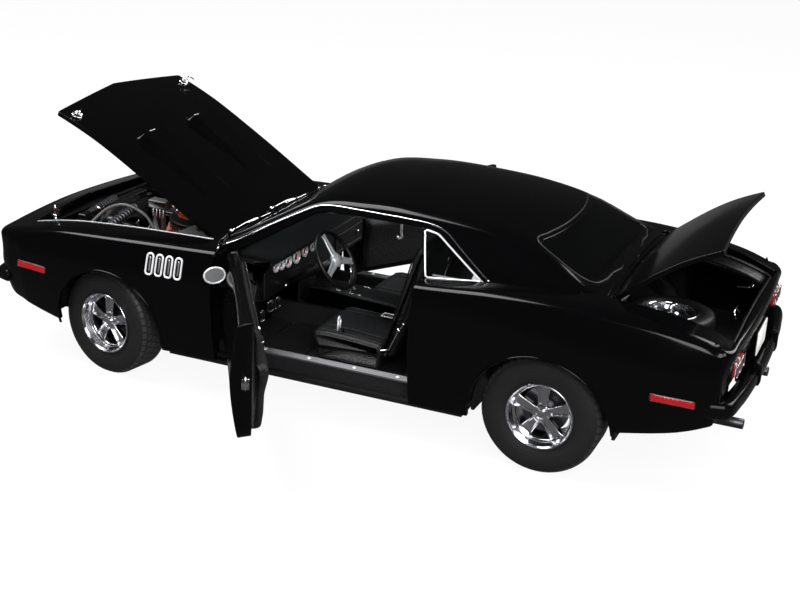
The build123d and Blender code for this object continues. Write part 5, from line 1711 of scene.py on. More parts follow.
def frameLoop(flat, axes, where, radius, corner, lift=0.2, soft=1):
    outline = spacedLine(np.concatenate([roundedOutline(flat, corner),
                                         roundedOutline(flat, corner)[:1]]), 1.0)[:-1]
    path = onMesh(roofMesh, outline, axes, where, lift)
    if soft > 1:
        around = np.concatenate([path[-(soft // 2):], path, path[:soft // 2]])
        path = np.stack([np.convolve(around[:, k], np.ones(soft) / soft, "valid")
                         for k in range(3)], 1)
    return tube(path, radius, 8, closed=True)


def makeWindowTrim():
    t = trimShape
    points, faces = frameLoop(t["quarterLoop"], (1, 2), lambda p: (p[:, 0] > 24), t["frameRadius"],
                              0.6, -0.1)
    onCar("quarterFrames", bothSides(points, faces), paintedShineTrim, "bright_aluminium")
    points, faces = frameLoop(t["screenLoop"], (0, 2), lambda p: p[:, 1] < 0, 0.3, 3.0, 0.0, 5)
    onCar("screenTrim", (points, faces), darkSteel, "bright_aluminium")
    points, faces = frameLoop(t["rearLoop"], (0, 2), lambda p: p[:, 1] > 50, 0.3, 3.4, 0.05, 5)
    onCar("rearTrim", (points, faces), satinBlack, "bright_aluminium")
    ledge = np.array([(roofX(y, 54.0) - 1.6, y, 53.6) for y in np.linspace(33.5, 47.0, 14)])
    onCar("quarterLedges", bothSides(*tube(ledge, 0.5, 8)), paintedShineTrim, "bright_aluminium")


gills = {"count": 4, "first": -61.0, "pitch": 3.52, "width": 2.3, "low": 40.3, "high": 47.0,
         "lean": 0.02, "ring": 0.33}


def makeGills():
    g = gills
    rings, slots = [], []
    for n in range(g["count"]):
        y0 = g["first"] + n * g["pitch"]
        half = g["width"] / 2
        flat = roundedOutline(rectangle(y0 - half, y0 + half, g["low"], g["high"]),
                              half * 0.98, 7)
        flat = flat - np.stack([(flat[:, 1] - g["low"]) * -g["lean"], np.zeros(len(flat))], 1)
        x = sideX(flat[:, 0], flat[:, 1])
        rings.append(tube(np.stack([x + 0.05, flat[:, 0], flat[:, 1]], 1), g["ring"], 8,
                          closed=True))
        z = np.linspace(g["low"] + 1.0, g["high"] - 1.0, 12)
        y = y0 + (z - g["low"]) * g["lean"]
        slots.append(tube(np.stack([sideX(y, z) - 0.1, y, z], 1), 0.36, 8))
    onCar("gillRings", bothSides(*joined(*rings)), paintedShineTrim, "bright_aluminium")
    onCar("gillSlots", bothSides(*joined(*slots)), steel, "black_plastic")


markers = {
    "front": {"from": (-114.0, 34.6), "to": (-101.8, 34.2), "height": 2.2},
    "rear": {"from": (105.6, 33.6), "to": (118.4, 32.8), "height": 2.3}}


def makeMarkers():
    lenses, bezels = [], []
    for name, m in markers.items():
        mesh = noseMesh if name == "front" else tailMesh
        (y0, z0), (y1, z1) = m["from"], m["to"]
        half = m["height"] / 2
        flat = roundedOutline([(y0, z0 - half), (y1, z1 - half), (y1, z1 + half), (y0, z0 + half)],
                              0.7, 5)
        edge = onMesh(mesh, flat, (1, 2), lambda p: p[:, 0] > 30, 0.35)
        mid = edge.mean(0)
        base = onMesh(mesh, flat, (1, 2), lambda p: p[:, 0] > 30, -0.3)
        n = len(flat)
        inner = mid + (edge - mid) * 0.9 + (0.25, 0, 0)
        points = np.concatenate([base, edge, inner, [mid + (0.3, 0, 0)]])
        faces = [(i, (i + 1) % n, n + (i + 1) % n, n + i) for i in range(n)]
        faces += [(n + i, n + (i + 1) % n, 2 * n + (i + 1) % n, 2 * n + i) for i in range(n)]
        faces += [(2 * n + i, 2 * n + (i + 1) % n, 3 * n) for i in range(n)]
        lenses.append((points, faces))
        bezels.append(tube(edge, 0.16, 6, closed=True))
    onCar("markerLenses", bothSides(*joined(*lenses)), redLens, "red_lens")
    onCar("markerBezels", bothSides(*joined(*bezels)), darkSteel, "bright_aluminium")


mirrorShape = {"at": (52.3, -25.8, 47.2), "half": (3.35, 2.55), "depth": 3.0, "turn": 12.0}


def ellipsoidCup(half, depth, steps=32, rings=8):
    # a mirror housing: an oval face at y = 0 with a rounded back towards -y
    angle = np.linspace(0, 2 * np.pi, steps, endpoint=False)
    points, faces = [], []
    for k in range(rings + 1):
        lean = math.pi / 2 * k / rings
        for a in angle:
            points.append((half[0] * math.cos(a) * math.cos(lean), -depth * math.sin(lean),
                           half[1] * math.sin(a) * math.cos(lean)))
    grid = gridFaces(rings + 1, steps, closeColumns=True)
    faces = flipped(grid.tolist())
    return np.array(points), faces


def makeMirrors():
    m = mirrorShape
    at = np.array(m["at"])
    cup, cupFaces = ellipsoidCup(m["half"], m["depth"])
    rim, rimFaces = tube(cup[:32] + (0, 0.05, 0), 0.3, 8, closed=True)
    glassPoints = np.concatenate([cup[:32] * (0.95, 1, 0.95) + (0, 0.12, 0), [(0, 0.3, 0)]])
    glassFaces = [(i, 32, (i + 1) % 32) for i in range(32)]
    stalk = tube([(-4.6, -1.0, -5.2), (-3.4, -1.4, -3.8), (-1.6, -1.5, -2.0), (-0.4, -1.5, -0.6)],
                 [1.5, 1.1, 0.9, 1.0], 12)
    foot = tube([(-5.4, -1.0, -5.6), (-4.2, -1.0, -5.0)], [1.9, 1.6], 14)
    def place(shape):
        points, faces = shape
        return turned(np.asarray(points), np.zeros(3), m["turn"], "Z") + at, faces
    mirrorSilver = metal("mirrorSilver", (0.24, 0.245, 0.25, 1), 0.3, grain=0.9, scale=420.0,
                         share=0.5)
    doorPiece("mirrorHousing", *place(joined((cup, cupFaces), stalk, foot)), blackPaint,
              "body_paint")
    doorPiece("mirrorRim", *place((rim, rimFaces)), paintedShineTrim, "bright_aluminium")
    doorPiece("mirrorGlass", *place((glassPoints, glassFaces)), mirrorSilver, "bright_aluminium")


pin = {"x": 33.8, "postY": -109.2, "plateY": -109.4, "postFoot": 46.6, "collar": 48.2,
       "ring": (2.1, 1.5)}


def makePins():
    # the bonnet pins: a post on each front corner, and a plate with a ring and a clip on the bonnet
    x, postY, plateY = pin["x"], pin["postY"], pin["plateY"]
    top = float(topHeight(x, plateY))
    post = spun([(-0.1, 0.001), (-0.1, 0.75), (0.6, 0.75), (0.9, 0.55), (3.6, 0.55), (4.0, 0.75),
                 (4.6, 0.7), (5.1, 0.4), (5.2, 0.001)], 16, "Z")
    collar = spun([(0, 0.9), (0, 1.4), (0.5, 1.4), (0.5, 0.9)], 20, "Z")
    posts = joined(shifted(post, (x, postY, pin["postFoot"])),
                   shifted(collar, (x, postY, pin["collar"])))
    onCar("pinPosts", bothSides(*posts), chrome, "bright_aluminium")
    wide, long = pin["ring"]
    ring = tube([(x + wide * math.cos(a), plateY + long * math.sin(a), top + 0.45)
                 for a in np.linspace(0, 2 * math.pi, 28, endpoint=False)], 0.42, 8, closed=True)
    plate = spun([(0.0, 0.001), (0.0, 1.9), (0.25, 1.9), (0.35, 1.7), (0.35, 0.001)], 24, "Z")
    plate = (plate[0] * (1, 0.75, 1) + (x, plateY, top + 0.02), plate[1])
    clip = tube([(33.0, -109.4, 50.4), (34.9, -109.0, 50.6), (36.2, -107.6, 50.2)], 0.22, 6)
    hoodPiece("pinPlates", *bothSides(*joined(ring, plate, clip)), chrome, "bright_aluminium")


def makeWipers():
    parts = []
    for x0, reach in ((30.0, -22.0), (2.0, -20.0)):
        base = np.array([x0, -41.9, 53.0])
        base[2] = float(topHeight(x0, -41.0)) + 0.4
        tip = np.array([x0 + reach * 0.62, -38.6, 0])
        tip[2] = float(topHeight(tip[0], -41.0)) + 1.9
        arm = np.linspace(base, tip, 8)
        arm[:, 2] += np.sin(np.linspace(0, math.pi, 8)) * 0.5
        parts.append(tube(arm, np.linspace(0.42, 0.26, 8), 8))
        blade = np.linspace(tip + (6.5, -0.9, -0.5), tip + (-7.5, 0.9, 0.1), 8)
        parts.append(tube(blade, 0.22, 6))
        cap = spun([(-0.4, 0.001), (-0.4, 0.9), (0.5, 0.8), (0.8, 0.4), (0.85, 0.001)], 16, "Z")
        parts.append(shifted(cap, base))
    onCar("wipers", joined(*parts), chrome, "bright_aluminium")


def makeArchLips():
    parts = []
    for (yc, zc, r), low in ((openings["frontArch"], 15.0), (openings["rearArch"], 17.5)):
        a = np.linspace(-0.12, math.pi + 0.12, 60)
        y, z = yc + r * np.cos(a), zc + r * np.sin(a)
        z = np.where(z < low, low, z)
        parts.append(tube(np.stack([sideX(y, z) - 0.15, y, z], 1), 0.45, 8))
    onCar("archLips", bothSides(*joined(*parts)), blackPaint, "body_paint")


wellEdges = {"front": (-79.2, 17.6, 21.9), "rear": (73.2, 17.6, 22.1)}


def makeArchShields():
    # a curved strip joins each wheel well to the skin's edge, so no light passes between them
    parts = []
    for arch, well in ((openings["frontArch"], wellEdges["front"]),
                       (openings["rearArch"], wellEdges["rear"])):
        a = np.linspace(0.05, math.pi - 0.05, 48)
        rows = []
        for extra in (0.0, 0.6):
            y, z = arch[0] + (arch[2] + 0.2 + extra) * np.cos(a), arch[1] + (arch[2] + 0.2
                                                                             + extra) * np.sin(a)
            outer = np.stack([sideX(y, z) - 0.7, y, z], 1)
            y, z = well[0] + (well[2] + extra) * np.cos(a), well[1] + (well[2] + extra) * np.sin(a)
            inner = np.stack([np.full(len(a), 44.8), y, z], 1)
            rows += [inner, outer] if extra == 0 else [outer, inner]
        rows = np.stack(rows, 1)
        faces = [tuple(f) for f in gridFaces(len(a), 4, closeColumns=True)]
        faces += [(0, 1, 2, 3), tuple(range(len(a) * 4 - 4, len(a) * 4))]
        parts.append((rows.reshape(-1, 3), faces))
    facedOut(onCar("archShields", bothSides(*joined(*parts)), chassisBlack, "black_plastic"))


def makeCowlLine():
    # painted highlight: a chrome line along the cowl and down the fender's rear top corner, where
    # the painted edge only catches light
    flat = [(34.0, -41.6), (38.0, -41.6), (41.0, -40.6), (42.8, -39.4), (44.2, -38.7)]
    path = [(x, y, float(topHeight(x, y)) + 0.12) for x, y in spacedLine(flat, 0.8)]
    path.append((46.8, -38.8, 49.4))
    onCar("fenderCornerHighlights", bothSides(*tube(path, 0.25, 6)), chrome, "bright_aluminium")
    edge = [(37.95, y, float(topHeight(37.95, y)) + 0.06) for y in np.linspace(-112.5, -44.0, 40)]
    onCar("fenderEdges", bothSides(*tube(edge, 0.16, 6)), darkSteel, "body_paint")


def makeTailLamps():
    # each lamp: a dark surround, three red panels and a narrow clear bar between each two
    (x0, z0), (x1, z1) = openings["tailLamp"]
    reds, clears, rings = [], [], []
    dark = boxShape((x0 + 0.1, 124.8, z0 + 0.1), (x1 - 1.8, 126.2, z1 - 0.1))
    spans = [(x0 + 0.8, x0 + 4.6, reds), (x0 + 5.2, x0 + 6.2, clears), (x0 + 6.8, x0 + 9.4, reds),
             (x0 + 10.0, x0 + 11.0, clears), (x0 + 11.6, x1 - 2.6, reds)]
    for a, b, group in spans:
        flat = roundedOutline(rectangle(a, b, z0 + 1.0, z1 - 1.0), 0.6, 5)
        group.append(extruded(flat, 126.0, 127.5 - 0.02 * (a + b) * 0.5, "Y"))
        rings.append(tube([(x, 127.35, z) for x, z in flat], 0.17, 6, closed=True))
    onCar("lampSurrounds", bothSides(*dark), satinBlack, "black_plastic",
          replaces=("tail_lamp_left", "tail_lamp_right"))
    softEdges(onCar("lampReds", bothSides(*joined(*reds)), redLens, "red_lens"), 0.25)
    softEdges(onCar("lampClears", bothSides(*joined(*clears)), clearLens, "lamp_glass"), 0.25)
    onCar("lampRims", bothSides(*joined(*rings)), chrome, "bright_aluminium")


blades = {
    "front": {"line": [(48.2, -119.4), (47.9, -122.0), (45.2, -126.2), (34.0, -128.6),
                       (23.0, -129.8), (0.0, -131.3)],
              "middle": 28.0, "half": 2.15, "guards": (17.0, 25.2, 31.0)},
    "rear": {"line": [(48.2, 120.4), (48.0, 123.4), (45.6, 128.2), (35.0, 129.8), (24.0, 130.6),
                      (0.0, 131.3)],
             "middle": 31.1, "half": 2.6, "guards": (15.5, 28.6, 36.0)}}


bladeForm = {"stations": 90, "depth": 4.6, "nose": 1.5, "backHalf": 0.8, "endStations": 3,
             "endSize": 0.45,
             "guardHalf": 1.2, "guardFront": 131.4}


def makeBumpers():
    # swept blades with rounded ends, and a pair of upright guards on each
    form = bladeForm
    count = form["stations"]
    for end, b in blades.items():
        half = np.array(b["line"])
        line = np.concatenate([half, (half[:-1] * (-1, 1))[::-1]])
        line = smoothLine(np.column_stack([line, np.zeros(len(line))]), count)[:, :2]
        ahead = np.gradient(line, axis=0)
        ahead /= np.linalg.norm(ahead, axis=1, keepdims=True)
        outward = np.stack([ahead[:, 1], -ahead[:, 0]], 1) * (1 if end == "rear" else -1)
        outward *= np.sign(np.sum(outward[count // 2] * line[count // 2]))
        lean = np.radians(np.linspace(-90, 90, 13))
        nose, back, flat = form["nose"], -form["depth"], form["backHalf"]
        profile = [(back, -flat)] + [(-nose + nose * math.cos(a), math.sin(a))
                                     for a in lean] + [(back, flat)]
        rows = []
        for k, (at, out) in enumerate(zip(line, outward)):
            share = min(k, count - 1 - k) / form["endStations"]
            swell = (1 - form["endSize"]) * math.sin(min(1.0, share) * math.pi / 2)
            size = b["half"] * (form["endSize"] + swell)
            rows.append([(*(at + out * d), b["middle"] + z * size) for d, z in profile])
        rows = np.array(rows)
        n = len(profile)
        faces = [tuple(f) for f in gridFaces(count, n, closeColumns=True)]
        faces += [tuple(range(n)), tuple(range((count - 1) * n, count * n))]
        piece = onCar(f"{end}Blade", (rows.reshape(-1, 3), faces), bumperPaint, "bumper_black",
                      replaces=(f"{end}_bumper",))
        facedOut(piece)
        x, low, high = b["guards"]
        sign = -1 if end == "front" else 1
        front = sign * form["guardFront"]
        guard = [(front - sign * 3.0, low + 0.8), (front - sign * 0.5, low), (front, low + 1.2),
                 (front, high - 1.4), (front - sign * 0.7, high), (front - sign * 3.0, high - 0.6)]
        shape = padShape(roundedOutline(guard, 0.5, 4), x - form["guardHalf"],
                         x + form["guardHalf"], 0.5, 4)
        facedOut(onCar(f"{end}Guards", bothSides(*shape), bumperPaint, "bumper_black"))


makeDripRails()
makeWindowTrim()
makeGills()
makeMarkers()
makeMirrors()
makePins()
makeWipers()
makeArchLips()
makeArchShields()
makeCowlLine()
makeTailLamps()
makeBumpers()
print("trim ready")


# engine bay: radiator, fan, battery, washer bottle, booster, air cleaner, pipes and brackets


def makeRadiator():
    core = boxShape((-20.0, -110.4, 15.2), (20.0, -106.6, 42.0))
    frameBars = [boxShape((-23.0, -110.5, 15.0), (-20.0, -106.5, 43.0)),
                 boxShape((20.0, -110.5, 15.0), (23.0, -106.5, 43.0)),
                 boxShape((-20.0, -110.3, 42.0), (20.0, -106.8, 45.0))]
    fins = [boxShape((-19.8, -106.6, 16.0 + k * 1.3), (19.8, -106.3, 16.5 + k * 1.3))
            for k in range(20)]
    piece = onCar("radiatorCore", joined(core, *fins), satinBlack, "black_plastic", smooth=False,
                  replaces=("radiator",))
    softEdges(piece, 0.12)
    piece = onCar("radiatorTanks", joined(*frameBars), bayBlack, "black_plastic", smooth=False)
    softEdges(piece, 0.6, 3)
    shroud = [(-106.4, 18.0), (-104.4, 14.5), (-103.6, 12.4), (-101.9, 12.0), (-101.9, 11.4),
              (-103.9, 11.7), (-105.0, 13.9), (-106.4, 17.2)]
    points, faces = closedSpinY(shroud, 64)
    points = points * (1.08, 1, 0.9) + (0, 0, 29.0)
    onCar("fanShroud", (points, faces), satinBlack, "black_plastic")
    blades = [spunY([(-2.0, 0.001), (-2.0, 2.2), (2.0, 2.2), (2.1, 0.001)], 28)]
    for n in range(6):
        rows = []
        for r in np.linspace(1.8, 9.6, 7):
            half = 1.1 + 0.14 * r
            twist = math.radians(34 - 1.4 * r)
            rows.append([(a * half * math.cos(twist), b + a * half * math.sin(twist), r)
                         for a, b in ((-1, -0.16), (0, -0.34), (1, -0.16), (1, 0.16), (0, 0.02),
                                      (-1, 0.16))])
        points, faces = lofted(rows)
        blades.append((points @ np.array(Matrix.Rotation(math.radians(n * 60), 3, "Y")).T, faces))
    onCar("fanBlades", shifted(joined(*blades), (0, -98.4, 29.0)), steel, "bright_aluminium",
          replaces=("cooling_fan",))
    cap = spun([(44.6, 0.001), (44.6, 1.9), (45.2, 2.1), (45.5, 1.8), (45.7, 0.9), (45.9, 0.001)],
               28, "Z")
    onCar("radiatorCap", shifted(cap, (9.0, -108.6, 0)), chrome, "bright_aluminium")


def makeCleaner():
    lid = [(40.7, 0.001), (40.7, 11.6), (41.2, 12.2), (43.9, 12.3), (44.3, 12.6), (44.9, 12.4),
           (45.2, 11.4), (45.3, 9.0), (45.55, 8.6), (45.55, 3.0), (45.2, 2.4), (45.2, 0.001)]
    onCar("cleanerDrum", shifted(spun(lid, 72, "Z"), (0, -70.0, 0)), satinBlack, "engine_paint",
          replaces=("air_cleaner",))
    badge = [(45.1, 0.001), (45.1, 7.4), (45.6, 7.8), (46.0, 7.4), (46.1, 4.4), (45.8, 4.0),
             (45.8, 0.001)]
    onCar("cleanerTop", shifted(spun(badge, 64, "Z"), (0, -72.0, 0)), enginePaint, "engine_paint")
    nut = spun([(45.6, 0.001), (45.6, 1.3), (46.3, 1.3), (46.5, 0.6), (46.5, 0.001)], 6, "Z")
    wing = tube([(-1.8, 0, 46.5), (0, 0, 46.4), (1.8, 0, 46.5)], 0.4, 6)
    onCar("cleanerNut", shifted(joined(nut, wing), (0, -72.0, 0)), chrome, "bright_aluminium")
    pleats = []
    for a in np.linspace(0, 2 * np.pi, 90, endpoint=False):
        pleats.append((12.05 + 0.3 * math.cos(a * 45), a))
    ring = np.array([[(r * math.cos(a), r * math.sin(a), z) for r, a in pleats]
                     for z in (41.5, 43.6)])
    faces = [tuple(f) for f in gridFaces(2, len(pleats), closeColumns=True)]
    onCar("cleanerPleats", (ring.reshape(-1, 3) + (0, -70.0, 0), flipped(faces) + faces),
          plateWhite, "plate_white")


def makeServices():
    battery = softBox((-27.5, -103.4, 27.6), (-17.2, -90.6, 38.2), 0.6)
    lid = softBox((-27.7, -103.5, 36.6), (-17.0, -90.5, 38.4), 0.4)
    bottle = softBox((17.7, -100.4, 27.6), (27.5, -91.6, 37.4), 1.6)
    onCar("batteryCase", joined(battery, lid), satinBlack, "black_plastic",
          replaces=("battery_and_tanks",))
    caps = []
    for k in range(6):
        caps.append(shifted(spun([(38.2, 0.001), (38.2, 0.72), (39.0, 0.62), (39.05, 0.001)], 16,
                                 "Z"),
                            (-24.0, -101.0 + k * 1.75, 0)))
    onCar("batteryCaps", joined(*caps), plateWhite, "plate_white")
    posts = [shifted(spun([(38.2, 0.001), (38.2, 0.8), (39.3, 0.7), (39.4, 0.001)], 16, "Z"),
                     (-19.0, y, 0))
             for y in (-101.0, -93.0)]
    onCar("batteryPosts", joined(*posts), steel, "bright_aluminium")
    neck = shifted(spun([(37.2, 0.001), (37.2, 1.8), (38.6, 1.8), (38.9, 1.3), (39.0, 0.001)], 24,
                        "Z"), (22.6, -96.0, 0))
    onCar("washerBottle", joined(bottle, neck), moulded("bottlePlastic", (0.10, 0.10, 0.105, 1),
                                                        0.35, 0.05, 600.0, 0.05, 0.4),
          "black_plastic")
    drum = [(-46.6, 0.001), (-46.6, 3.4), (-46.2, 4.9), (-45.2, 5.3), (-43.4, 5.4), (-42.0, 5.0),
            (-40.8, 4.2), (-40.8, 0.001)]
    booster = shifted(spunY(drum, 48), (20.0, 0, 39.0))
    onCar("brakeBooster", booster, darkSteel, "bright_aluminium")
    master = joined(softBox((17.8, -54.5, 37.8), (22.2, -46.7, 41.6), 0.5),
                    softBox((18.0, -54.2, 41.4), (22.0, -47.2, 42.6), 0.4))
    onCar("masterCylinder", master, moulded("castGrey", (0.22, 0.22, 0.225, 1), 0.4, 0.2, 700.0,
                                            0.1, 0.4), "bright_aluminium")
    bail = [tube(np.array([(20.0 + dx, y, 42.5) for dx in (-2.2, 0, 2.2)])
                 + np.array([(0, 0, -0.6), (0, 0, 0.25), (0, 0, -0.6)]), 0.2, 6)
            for y in (-52.6, -49.0)]
    onCar("masterBails", joined(*bail), chrome, "bright_aluminium")


def softBox(low, high, edge):
    # a box with rounded edges along x
    (x0, y0, z0), (x1, y1, z1) = low, high
    flat = roundedOutline(rectangle(y0, y1, z0, z1), edge, 4)
    return padShape(flat, x0, x1, edge, 4)


plumbing = {
    "pipes": [((16.6, -108.3, 44.0), (-3.0, -110.2, 44.8)),
              ((29.6, -93.4, 43.8), (3.0, -97.6, 44.8))],
    "pipe": (1.15, 1.6), "hose": 0.55,
    "arc": [(26.2, -100.6, 44.4), (12.9, -102.1, 46.4), (8.9, -97.2, 47.4), (13.2, -86.4, 46.5),
            (22.0, -76.6, 44.6)],
    "upper": [(10.0, -106.0, 40.0), (11.0, -102.0, 41.6), (9.0, -96.0, 40.0), (4.5, -90.0, 36.0)]}


def makePlumbing():
    # two corrugated pipes across the radiator, hoses, plug wires and a grey relay tower
    p = plumbing
    pipes = []
    for a, b in p["pipes"]:
        line = np.linspace(a, b, 97)
        wave = np.where(np.arange(97) % 8 < 4, p["pipe"][1], p["pipe"][0])
        pipes.append(tube(line, wave, 14))
    onCar("bayPipes", joined(*pipes), darkSteel, "bright_aluminium", smooth=False)
    onCar("bayHoseArc", tube(smoothLine(p["arc"], 60), p["hose"], 10), relayGrey, "black_plastic")
    hose = [tube(smoothLine(p["upper"], 26), 1.5, 12)]
    for side in (-1, 1):
        lower = np.array([(side * 6, -46.5, 36.0), (side * 9, -43.5, 39.0),
                          (side * 11, -41.6, 38.0)])
        hose.append(tube(spacedLine(lower, 0.8), 0.8, 8))
        for k in range(4):
            y = -84.0 + k * 9.4
            wire = [(side * 2.0, -52.0, 38.4), (side * 7.5, y * 0.5 - 27.0, 40.2),
                    (side * 14.8, y, 38.6), (side * 17.6, y, 35.2)]
            hose.append(tube(smoothLine(wire, 18), 0.32, 6))
    onCar("bayHoses", joined(*hose), hoseRubber, "black_plastic")
    tower = joined(softBox((-3.4, -93.2, 45.0), (0.8, -85.4, 48.2), 0.5),
                   softBox((-2.4, -91.4, 34.0), (0.2, -87.6, 45.2), 0.5))
    onCar("relayTower", tower, relayGrey, "black_plastic")
    bits = [tube([(0.5 + k * 0.3, -91.0 + k * 1.6, 45.2), (0.9 + k * 0.3, -91.0 + k * 1.6, 42.4)],
                 0.24, 6)
            for k in range(4)]
    onCar("bayBrights", joined(*bits), paintedShineTrim, "bright_aluminium")


bracketGrey = metal("bracketGrey", (0.40, 0.40, 0.40, 1), 0.4, grain=0.1, share=0.5)
relayGrey = moulded("relayGrey", (0.10, 0.10, 0.105, 1), 0.3, 0.15, 700.0, 0.1, 0.4)
bracket = {"corners": [(-74.5, 40.2), (-72.6, 43.0), (-60.6, 49.4), (-51.2, 44.6), (-49.8, 40.2)],
           "x": (18.5, 19.5),
           "rivet": (-60.6, 47.6)}


def makeBrackets():
    # the bonnet's side brackets, a triangular plate with a brass rivet on each side of the bay
    plate = roundedOutline(bracket["corners"], 0.6, 4)
    low, high = bracket["x"]
    points, faces = extruded(plate, low, high)
    piece = onCar("bonnetBrackets", bothSides(points, faces), bracketGrey, "bright_aluminium",
                  smooth=False)
    softEdges(piece, 0.2)
    y, z = bracket["rivet"]
    head = [(high - 0.1, 0.001), (high - 0.1, 1.25), (high + 0.25, 1.2), (high + 0.5, 0.8),
            (high + 0.6, 0.001)]
    rivet = shifted(spun(head, 24), (0, y, z))
    onCar("bonnetRivets", bothSides(*rivet), brass, "bright_aluminium")


shelf = {"half": 40.0, "stations": 41, "rear": -112.4, "frontMost": -128.0, "shortest": -113.0,
         "top": 43.4,
         "bottom": 42.6, "skinAbove": 44.4, "setBack": 0.6}


def makeNoseShelf():
    # a dark shelf from the bay's front wall to the nose, below the closed bonnet: at each station
    # it reaches forward as far as the skin stays above it
    s = shelf
    ahead = np.linspace(s["frontMost"], s["rear"] - 0.2, 80)
    rows = []
    for x in np.linspace(-s["half"], s["half"], s["stations"]):
        inside = ahead[topHeight(np.full(len(ahead), abs(x)), ahead) > s["skinAbove"]]
        front = inside.min() + s["setBack"] if len(inside) else s["shortest"]
        rows.append([(x, s["rear"], s["top"]), (x, front, s["top"]), (x, front, s["bottom"]),
                     (x, s["rear"], s["bottom"])])
    faces = [tuple(f) for f in gridFaces(s["stations"], 4, closeColumns=True)]
    faces += [(0, 1, 2, 3), tuple(range(s["stations"] * 4 - 4, s["stations"] * 4))]
    facedOut(onCar("noseShelf", (np.concatenate(rows), faces), bayBlack, "black_plastic"))


def lidRibs(lines, radius):
    # ribs under a lid: each follows the crown from one plan point to the other
    ribs = []
    for line in lines:
        flat = spacedLine(line, 3.0)
        height = topHeight(flat[:, 0], flat[:, 1]) - 1.75
        ribs.append(tube(np.column_stack([flat, height]), radius, 6))
    return joined(*ribs)


def makeBayEdges():
    # a pale metal line along each side of the bay and one at each scoop's mouth, both painted
    # highlights of an edge, an inner rolled flange, and the bonnet's underside ribs
    y = np.linspace(-113.6, -44.0, 60)
    # painted highlight: a pale metal tube on the fender's painted edge, where that edge only
    # catches light
    path = np.stack([np.full(60, openings["hoodHalf"] + openings["gap"] + 0.1), y,
                     topHeight(37.9, y) + 0.02], 1)
    onCar("bayEdgeHighlights", bothSides(*tube(path, 0.16, 6)), silverPaintedSheen, "bright_aluminium")
    flange = [[(37.6, v, h), (37.6, v, h - 2.6), (36.4, v, h - 2.9), (36.2, v, h - 3.3),
               (38.4, v, h - 3.2)]
              for v, h in zip(y, topHeight(37.4, y) - 2.0)]
    onCar("bayFlanges", bothSides(*lofted(flange, False)), bayBlack, "body_paint")
    lines = [[(-30, -108), (-24, -52)], [(30, -108), (24, -52)], [(-30, -108), (30, -108)],
             [(-24, -52), (24, -52)], [(-27, -80), (27, -80)], [(-30, -108), (24, -52)],
             [(30, -108), (-24, -52)]]
    hoodPiece("bonnetRibs", *lidRibs(lines, 0.7), bayBlack, "body_paint")
    # painted highlight: a short pale metal line on each scoop's mouth, standing in for the light
    # caught by the mouth's edge
    mouthHighlight = np.array([(x, -91.6, topHeight(x, -91.6) + 1.1) for x in np.linspace(13.0, 16.0, 6)])
    points, faces = bothSides(*tube(mouthHighlight, 0.2, 8))
    hoodPiece("scoopMouthHighlights", points, faces, silverPaintedSheen, "bright_aluminium")


makeRadiator()
makeCleaner()
makeServices()
makePlumbing()
makeBrackets()
makeBayEdges()
makeNoseShelf()
print("bay ready")


# the boot: spare wheel, hinge arms, jack, seal and gutter


def makeSpare():
    x, y = -13.7, 96.8
    tyre = [(30.6, 8.9), (30.0, 10.2), (30.2, 13.2), (31.2, 14.3), (32.6, 14.6), (34.8, 14.6),
            (36.4, 14.2), (37.1, 13.0), (37.2, 10.6), (36.8, 9.4), (36.2, 8.9)]
    points, _ = spun(tyre, 72, "Z")
    faces = [tuple(f) for f in gridFaces(72, len(tyre), closeRows=True, closeColumns=True)]
    onCar("spareTyre", (points + (x, y, 0), faces), tyreRubber, "tyre_rubber",
          replaces=("spare_wheel",))
    rim = [(31.0, 0.001), (31.0, 8.9), (36.3, 9.0), (36.8, 8.9), (36.9, 8.6), (36.4, 8.4),
           (34.6, 8.1), (33.8, 6.9), (34.4, 4.6), (34.9, 3.4), (35.6, 2.9), (36.6, 2.6),
           (36.8, 1.6), (36.8, 0.001)]
    points, faces = spun(rim, 64, "Z")
    onCar("spareRim", (points + (x, y, 0), faces), wheelChrome, "wheel_chrome")
    clamp = tube([(x - 5.5, y, 37.4), (x, y, 38.4), (x + 5.5, y, 37.4)], 0.6, 10)
    wing = tube([(x, y - 1.8, 38.9), (x, y, 38.5), (x, y + 1.8, 38.9)], 0.45, 8)
    onCar("spareClamp", joined(clamp, wing), chrome, "bright_aluminium")


